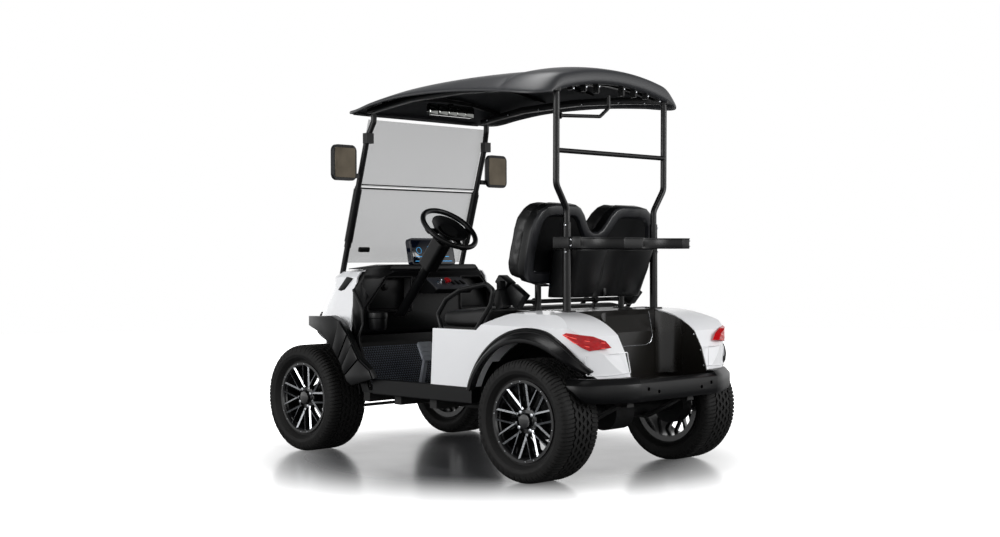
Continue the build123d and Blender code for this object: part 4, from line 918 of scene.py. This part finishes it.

# bag well: a bright milled-aluminium bead along the access panel's outline as its painted edge highlight,
# coves where the front wall turns into the side walls, and screws
panelLine = [(-140, 790), (-156, 729), (-170, 668), (-155, 634), (-115, 622), (288, 622)]
finishPiece(tubePiece("panelEdgeHighlight", [(-934, y, z) for y, z in panelLine], 1.3, 30, 2), "milledAluminium")
coves = []
for side in (1, -1):
    rows = []
    for k in range(13):
        turn = math.radians(7.5 * k)
        x, y = -1028 + 96.5 * math.cos(turn), side * (194 + 96.5 * math.sin(turn))
        top = 790 - 0.5 * (-931.5 - x)
        rows.append([(x, y, z) for z in (478, 560, 640, 720, top)])
    coves.append(thickened(gridPiece("wellCove", rows), 3))
finishPiece(joined("wellCoves", coves), "glossBronzeBlackAbs")
for x, z in ((-905, 757), (-1011, 735), (-1100, 672), (-1141, 596), (-1160, 520), (-945, 665), (-945, 520)):
    for side in (1, -1):
        screws.append(domeScrew((x, side * 291.5, z), (0, -side, 0), 4.2))

# body sides: a raised line round the panel below each tail lamp, and two painted highlight lines across each
# lens, pale red and faintly glowing
panelLine = [(-1103, 540, 604), (-1139, 458, 610), (-1169, 318, 616), (-1179, 305, 520), (-1147, 450, 512),
             (-1109, 538, 516)]
lensHighlightPath = [(-985, 620, 700), (-1030, 610, 690), (-1075, 590, 676), (-1120, 540, 662), (-1160, 460, 652)]
beads, lensHighlightLines = [], []
for side in (1, -1):
    beads.append(tubePiece("pocketBead", [(x, side * y, z) for x, y, z in panelLine], 2.2, 6, 2, True))
for side in (1, -1):
    # painted highlights: pale glowing red lines laid along each lens, above and below its middle
    for lift in (-13, 12):
        line = [hugged(nodes["tail_lights"], (x, side * y, z + lift)) for x, y, z in lensHighlightPath]
        lensHighlightLines.append(tubePiece("lensHighlightLine", line, 2.2, 0, 2))
finishPiece(joined("pocketBead", beads), "glossWhiteAbs")
finishPiece(joined("lensHighlightLines", lensHighlightLines), "paintedLensHighlight")

# footwell: ribbed floor mat on the floor and up the toe board, brake and accelerator plates
ribGap = {"along": 13, "across": 17}
rib = cornerPiece("floorRib", [(-5, -1, 357), (-5, -1, 358), (-5, 1, 357), (-5, 1, 358), (5, -8, 357),
                               (5, -7, 358.4), (5, 8, 357), (5, 7, 358.4)], 0)
places = [(a * ribGap["along"], (b + a % 2 / 2) * ribGap["across"])
          for a in range(42) for b in range(-28, 29)]
mat = joined("floorMat", [copied(rib, Matrix.Translation(((434 - x) * mm, y * mm, 0))) for x, y in places])
toeTurn = (Matrix.Translation((0.4502, 0, 0.357)) @ Matrix.Rotation(math.radians(-67.2), 4, "Y")
           @ Matrix.Translation((0, 0, -0.357)))
toeRibs = [copied(rib, toeTurn @ Matrix.Translation(((12 + x) * mm, y * mm, 0))) for x, y in places
           if x < 18 * ribGap["along"]]
bpy.data.objects.remove(rib)
finishPiece(joined("floorMat", [mat] + toeRibs), "blueGreyMat")

padLean = math.radians(25)
padOut = Vector((-math.cos(padLean), 0, math.sin(padLean)))
padUp = Vector((math.sin(padLean), 0, math.cos(padLean)))
pedalParts = []
for y, width, height in ((150, 110, 112), (34, 62, 118)):
    onPad = leaningFace((392, y, 542), padUp, padOut)
    w, h = width / 2, height / 2
    line = [(-w, 16 - h), (14 - w, -h), (w - 14, -h), (w, 16 - h), (w, h - 10), (w - 10, h), (10 - w, h),
            (-w, h - 10)]
    pedalParts.append(outlinePiece("pedalPad", [onPad(u, v, 0) for u, v in line], padOut * 12, 3, 2))
    pedalParts.append(cornerPiece("pedalArm", [
        (x, y + half, z) for pair in (((386, 528), (396, 556)), ((422, 358), (446, 358)))
        for half in (-14, 14) for x, z in pair], 2))
    for k in (-26, 0, 26):
        pedalParts.append(slab("pedalRib", onPad, (10 - w, w - 10), (k - 4, k + 4), (11, 14.5), 0.8))
finishPiece(joined("pedals", pedalParts), "pedalGrey", ["pedals"])
print("body pieces done")

# cup holders: four cups let into a shelf on each side
cupPlaces = [(446, y) for y in (455, 365, -365, -455)]
cupProfile = [(36, 676), (37, 742), (37.5, 756), (39.5, 765), (43, 768), (54, 766), (55.5, 760), (54, 738),
              (51, 734), (48, 690), (40, 672), (0, 668), (0, 676)]
cups = [lathePiece("cupHolder", cupProfile, (x, y, 0), (0, 0, 1), (1, 0, 0), 40) for x, y in cupPlaces]
for low, high in ((240, 530), (-530, -320)):
    cups.append(boxPiece("cupShelf", (402, low, 722), (489, high, 741), 5, 3))
    cups.append(boxPiece("cupShelf", (470, low, 664), (489, high, 724), 3, 2))
shelf = joined("cupHolders", cups)
for x, y in cupPlaces:
    drilled(shelf, (x, y, 738), 36, 120, 40)
finishPiece(shelf, blackPlastic, ["cup_holders"], 32)

# dash trim: black frame round each doorway, framed lids beside the column and their knob
doorLine = [(566, 524, 890), (488, 526, 786), (486, 526, 700), (500, 540, 640), (496, 541, 600),
            (404, 541, 372)]
trim = []
for side, near in ((1, 172), (-1, 202)):
    trim.append(tubePiece("doorTrim", [(x, side * y, z) for x, y, z in doorLine], 9, 40, 3))
    line = [(near, 768), (492, 768), (492, 800), (375, 938), (350, 955), (near, 955)]
    trim.append(tubePiece("lidFrame", [(487, side * y, z) for y, z in line], 6, 12, 3, True))
trim.append(lathePiece("lidKnob", [(0, 0), (24, 0), (26, 5), (24, 11), (15, 13), (13, 19), (0, 20)],
                       (540, 330, 905), (-1, 0, 0), (0, 0, 1), 32))
for low, high in ((184, 438), (-438, -214)):
    trim.append(boxPiece("lid", (538, low, 779), (546, high, 944), 6, 3))
finishPiece(joined("dashTrim", trim), blackPlastic)

# switch panel: granite-grained fascia with a key switch, a red pull knob and three rockers
panelDown = Vector((-103, 0, -65)).normalized()
panelOut = Vector((-65, 0, 103)).normalized()
onPanel = leaningFace((455, 0, 949), panelDown, panelOut)
finishPiece(slab("switchFascia", onPanel, (-168, 101), (4, 118), (-1, 4), 3, 2), "graniteGrain")
rockers = [cornerPiece("rocker", [onPanel(y + a, down, out) for a in (-10, 10)
                                  for down, high in ((38, 7), (80, 11)) for out in (3, high)], 1.5, 2)
           for y in (-60, -98, -136)]
finishPiece(joined("rockers", rockers), blackPlastic)
knobProfile = [(0, 0), (8, 0), (8, 10), (17, 13), (20, 19), (19, 25), (12, 28), (0, 28)]
finishPiece(lathePiece("pullKnob", knobProfile, onPanel(-14, 60, 3), panelOut, panelDown, 28), "redKnobAbs")
keySwitch = lathePiece("keySwitch", [(0, 0), (16, 0), (16, 4), (12, 7), (5, 8), (0, 8)],
                       onPanel(40, 60, 3), panelOut, panelDown, 24)
keyBow = slab("keyBow", onPanel, (38, 42), (49, 71), (8, 32), 2, 2)
finishPiece(joined("keySwitch", [keySwitch, keyBow]), "milledAluminium")

# display: cover glass and a lit picture of dials and bars
faceTurn = math.radians(12)
faceOutward = Vector((-math.cos(faceTurn), 0, math.sin(faceTurn)))
faceUp = Vector((math.sin(faceTurn), 0, math.cos(faceTurn)))
onDisplay = leaningFace((496, 18, 1000), faceUp, faceOutward)
glass = slab("displayGlass", onDisplay, (-154, 154), (22, 156), (33, 35.5), 1.5, 2)
finishPiece(glass, "displayGlass")
picture = []
for y, inner, outer, steps in ((10, 30, 34, 48), (-92, 17, 18.5, 32), (104, 17, 18.5, 32)):
    ringProfile = [(inner, 0), (outer, 0), (outer, 1), (inner, 1)]
    picture.append(lathePiece("dial", ringProfile, onDisplay(y, 96, 35.5), faceOutward, faceUp, steps))
for low, high, up in ((-120, -60, 60), (-30, 50, 50), (-30, 50, 42), (74, 130, 60), (-140, 140, 34),
                      (-18, 18, 92)):
    picture.append(slab("dialBar", onDisplay, (low, high), (up, up + 3), (35.5, 36.3), 0))
finishPiece(joined("displayPicture", picture), "displayCyan")


# dashboard: upper corners sloped off towards the cowl, then capped
def slopeOff(side):
    slope = Vector((-0.67, side * 0.67, 0.6)).normalized()
    bpy.ops.mesh.bisect(plane_co=(0.482, side * 0.344, 0.995), plane_no=slope, clear_outer=True,
                        use_fill=True)


dash = copied(nodes["dashboard"], None, "dash")
edited(dash, mergeDoubles, lambda: slopeOff(1), lambda: slopeOff(-1))
roundEdges(dash, 1.5, 1, 50)
slopeCorners = [(478, 328, 1008), (478, 527, 786), (585, 435, 1008), (567, 531, 880)]
dashParts = [dash]
for side in (1, -1):
    corners = [(x + o * 0.6, side * (y - o * 0.6), z - o * 0.5) for x, y, z in slopeCorners for o in (0, 8)]
    dashParts.append(cornerPiece("dashSlope", corners, 1.5, 2))
finishPiece(joined("dash", dashParts), blackPlastic, ["dashboard"], 32)

# dish under the steering wheel
wheelLean = math.radians(40.2)
shaft = Vector((-math.sin(wheelLean), 0, math.cos(wheelLean)))
dishProfile = [(0, -34), (30, -34), (62, -26), (92, -10), (104, 4), (104, 8), (90, 2), (60, -12), (28, -18),
               (0, -18)]
finishPiece(lathePiece("steeringDish", dishProfile, (58, 290, 1212), shaft, (0, 1, 0), 48), blackPlastic)

# screen: joint strips, latch, and rubber sleeves, collars and feet on its struts
screenFoot, screenHead = Vector((772, 0, 890)), Vector((534, 0, 1709))
screenAlong = (screenHead - screenFoot).normalized()
screenOut = Vector((-screenAlong.z, 0, screenAlong.x))
strutAcross = 451


def onScreen(y, z, out):
    rise = (z - screenFoot.z) / screenAlong.z
    return screenFoot + Vector((0, y, 0)) + screenAlong * rise + screenOut * out


fittings = [slab("screenStrip", onScreen, (-430, 430), (1440, 1447), (-2, 6)),
            slab("screenStrip", onScreen, (-430, 430), (1461, 1466), (-2, 6)),
            slab("screenLatch", onScreen, (305, 378), (1098, 1124), (6, 24), 4, 2)]
for side in (1, -1):
    for name, heights, radius in (("strutSleeve", (1150, 1300, 1436), 23),
                                  ("strutCollar", (1120, 1148), 19)):
        line = [onScreen(side * strutAcross, z, 0) for z in heights]
        fittings.append(tubePiece(name, line, radius, 0, 8))
    foot = [(600, side * 496, 950), (644, side * 496, 958), (720, side * 496, 886), (672, side * 496, 874)]
    fittings.append(outlinePiece("strutFoot", foot, (0, side * 12, 0), 2, 2))
finishPiece(joined("screenFittings", fittings), blackPlastic)

# belt buckle boxes standing on the seat's outer ends
buckles = []
for side in (1, -1):
    for name, across, line, edge in (
            ("buckleBox", (410, 462), ((-643, 874), (-556, 931), (-586, 810), (-470, 868)), 5),
            ("buckleLid", (404, 468), ((-540, 936), (-478, 975), (-516, 900), (-450, 938)), 4)):
        buckles.append(cornerPiece(name, [(x, side * y, z) for y in across for x, z in line], edge, 2))
finishPiece(joined("beltBuckles", buckles), blackPlastic)

# mirrors: glass in the side mirrors, five glass strips in the interior one
paneLine = [(-64, -80), (64, -80), (70, -74), (70, 74), (64, 80), (-64, 80), (-70, 74), (-70, -74)]
for side, name in ((1, "Left"), (-1, "Right")):
    line = [(559.5, side * 584 + across, 1574 + up) for across, up in paneLine]
    pane = outlinePiece(f"mirrorGlass{name}", line, (-1.8, 0, 0), 0.5, 1)
    finishPiece(pane, "bronzeMirrorGlass")
strips = []
for k in (-2, -1, 0, 1, 2):
    bow = 6 * (abs(k) / 2) ** 2
    strips.append(cornerPiece("mirrorStrip", [(x, 68 * k + across, 1878 + up) for x in (331 + bow, 339)
                                              for across in (-32, 32) for up in (-29, 29)], 1.5, 2))
finishPiece(joined("interiorMirrorGlass", strips), "silveredGlass")
print("dash and mirrors done")

# front: lamps in dark bezels, air intake slats and hood seams, all laid on the nose
headlights, cowl = nodes["headlights"], nodes["front_cowl"]
lampOut = Vector((0.77, 0.64, 0.25)).normalized()
lampAcross = Vector((-0.64, 0.77, 0)).normalized()
lampUp = lampOut.cross(lampAcross)
bezelLine = [(-84, -20), (-70, -32), (70, -32), (84, -20), (84, 20), (70, 32), (-70, 32), (-84, 20)]


def onLamp(across, up, side):
    # nearest place on the lamp to one given across and up from its middle
    place = Vector((1000, 330, 705)) + lampAcross * across + lampUp * up + lampOut * 30
    return hugged(headlights, (place.x, side * place.y, place.z))


bezels, lenses = [], []
for side in (1, -1):
    rim = [onLamp(across, up, side) for across, up in finer(bezelLine, 12)]
    bezels.append(tubePiece("lampBezel", rim, 5, 0, 2, True))
    for across, size in ((-48, 22), (0, 25), (50, 22)):
        profile = [(size - 4, 0), (size, 0), (size, 4), (size - 1.5, 6), (size - 4, 4.5), (size * 0.6, 7),
                   (0, 9)]
        facing = (lampOut.x, side * lampOut.y, lampOut.z)
        lenses.append(lathePiece("lampLens", profile, onLamp(across, 0, side), facing, (0, 0, 1), 32))
for k in range(5):
    slat = [hugged(cowl, (1250, y, 512 + 17 * k)) for y in range(-200, 201, 25)]
    bezels.append(tubePiece("intakeSlat", slat, 4.5, 0, 2))
seams = [[(1120, y, 862) for y in range(-440, 441, 20)]]
seams += [[(1250, side * (300 - k * 2), 480 + 18 * k) for k in range(9)] for side in (1, -1)]
for seam in seams:
    bezels.append(tubePiece("noseSeam", [hugged(cowl, place) for place in seam], 1.3, 0, 2))
finishPiece(joined("lampBezels", bezels), blackPlastic)
finishPiece(joined("lampLenses", lenses), "clearLampPolycarbonate")


# plain parts that only need their edges softened
def softened(member, width, look=blackPlastic):
    flatten = {"angle_limit": math.radians(1)}
    piece = edited(copied(nodes[member], None, member + "Soft"), mergeDoubles,
                   lambda: bpy.ops.mesh.dissolve_limited(**flatten))
    roundEdges(piece, width, 2, 32)
    finishPiece(piece, look, [member], 24)


softWidths = {"sills": 4, "front_bumper": 8, "seat_pod": 3, "switch_panel": 3, "steering_column": 5}
for member, width in softWidths.items():
    softened(member, width)
softened("display_screen", 4, "displayGlass")
print("front and plain parts done")

for y, z in ((368, 1214), (368, 1085), (-345, 1209), (-345, 1085)):
    screws.append(domeScrew((-829, y, z), (-1, 0, 0), 6))
finishPiece(joined("screws", screws), "milledAluminium")
print("screws done")

# camera, lamps, floor
cameraSetup = {"place": (-5.3008, 5.3867, 1.0518), "yaw": 45.63, "pitch": 0.385, "roll": -0.184,
               "lens": 50.4}
yaw, pitch = math.radians(cameraSetup["yaw"]), math.radians(cameraSetup["pitch"])
looking = Vector((math.cos(yaw) * math.cos(pitch), -math.sin(yaw) * math.cos(pitch), -math.sin(pitch)))
bpy.ops.object.camera_add(location=cameraSetup["place"])
camera = bpy.context.object
camera.name = "camera"
camera.data.lens = cameraSetup["lens"]
camera.data.sensor_width = 36
rollTurn = Matrix.Rotation(math.radians(cameraSetup["roll"]), 3, "Z")
camera.rotation_euler = (looking.to_track_quat("-Z", "Y").to_matrix() @ rollTurn).to_euler()
bpy.context.scene.camera = camera

lamps = {
    "topSoftbox": {"place": (-0.3, 0.4, 4.8), "aim": (0, 0, 0.8), "size": 2.6, "power": 120},
    "rearSoftbox": {"place": (-4.8, -1.6, 2.2), "aim": (0, 0, 0.8), "size": 2.0, "power": 90},
    "sideSoftbox": {"place": (0.4, 5.6, 1.9), "aim": (0, 0, 0.6), "size": 2.6, "power": 112},
}
for name, lamp in lamps.items():
    bpy.ops.object.light_add(type="AREA", location=lamp["place"])
    light = bpy.context.object
    light.name = name
    light.data.shape = "DISK"
    light.data.size = lamp["size"]
    light.data.energy = lamp["power"]
    light.rotation_euler = (Vector(lamp["aim"]) - Vector(lamp["place"])).to_track_quat("-Z", "Y").to_euler()

world = bpy.data.worlds.new("studio")
bpy.context.scene.world = world
skyTree = emptyTree(world)
rays = addNode(skyTree, "ShaderNodeLightPath")
seen = addNode(skyTree, "ShaderNodeMath", {"operation": "MAXIMUM"},
               links={0: rays.outputs["Is Camera Ray"], 1: rays.outputs["Is Transmission Ray"]})
ways = addNode(skyTree, "ShaderNodeTexCoord")
height = addNode(skyTree, "ShaderNodeSeparateXYZ", links={"Vector": ways.outputs["Generated"]})
climb = addNode(skyTree, "ShaderNodeMath", {"operation": "ABSOLUTE"}, links={0: height.outputs["Z"]})
# bright horizon and dim zenith for reflections, plain white behind the cart
soft = addNode(skyTree, "ShaderNodeMapRange", {"interpolation_type": "SMOOTHSTEP"},
               {"From Min": 0.08, "From Max": 0.62, "To Min": 1.35, "To Max": 0.07},
               {"Value": climb.outputs["Value"]})
level = addNode(skyTree, "ShaderNodeMix", {"data_type": "FLOAT"}, {3: 1.0},
                {"Factor": seen.outputs["Value"], 2: soft.outputs["Result"]})
backdrop = addNode(skyTree, "ShaderNodeBackground", values={"Color": (1, 1, 1, 1)},
                   links={"Strength": level.outputs[0]})
addNode(skyTree, "ShaderNodeOutputWorld", links={"Surface": backdrop.outputs["Background"]})

bpy.ops.mesh.primitive_circle_add(vertices=64, radius=14, fill_type="NGON", location=(0, 0, 0))
floor = named("studioFloor")
floorPaint = bpy.data.materials.new("paintedStudioFloor")
floorTree = emptyTree(floorPaint)
floorPlace = addNode(floorTree, "ShaderNodeTexCoord").outputs["Object"]
floorRays = addNode(floorTree, "ShaderNodeLightPath")
# painted shadow: seen from the camera, the glossy floor is painted dark grey near the cart and fades to a
# glowing white further out; other rays see it dark grey all over
reach = addNode(floorTree, "ShaderNodeVectorMath", {"operation": "LENGTH"}, links={0: floorPlace})
fade = addNode(floorTree, "ShaderNodeMapRange", {"interpolation_type": "SMOOTHSTEP"},
               {"From Min": 0.75, "From Max": 2.0, "To Min": 0.0, "To Max": 1.0},
               {"Value": reach.outputs["Value"]})
glow = addNode(floorTree, "ShaderNodeMath", {"operation": "MULTIPLY"},
               links={0: fade.outputs["Result"], 1: floorRays.outputs["Is Camera Ray"]}).outputs["Value"]
speckle = addNode(floorTree, "ShaderNodeTexNoise", values={"Scale": 3.0}, links={"Vector": floorPlace})
rough = addNode(floorTree, "ShaderNodeMapRange", values={"To Min": 0.16, "To Max": 0.24},
                links={"Value": speckle.outputs["Fac"]})
# painted shadow: the floor colour goes from dark grey under the cart to pale grey further out
floorShadowPaint = addNode(floorTree, "ShaderNodeMix", {"data_type": "RGBA"},
               {6: linear("#5c5d5f"), 7: linear("#f3f3f4")}, {"Factor": glow})
shader = addNode(floorTree, "ShaderNodeBsdfPrincipled",
                 values={"Specular IOR Level": 0.35, "Emission Color": (1, 1, 1, 1)},
                 links={"Base Color": floorShadowPaint.outputs[2], "Roughness": rough.outputs["Result"],
                        "Emission Strength": glow})
addNode(floorTree, "ShaderNodeOutputMaterial", links={"Surface": shader.outputs["BSDF"]})
floor.data.materials.append(floorPaint)
bpy.context.scene.view_settings.view_transform = "Standard"
print("camera, lamps and floor done")
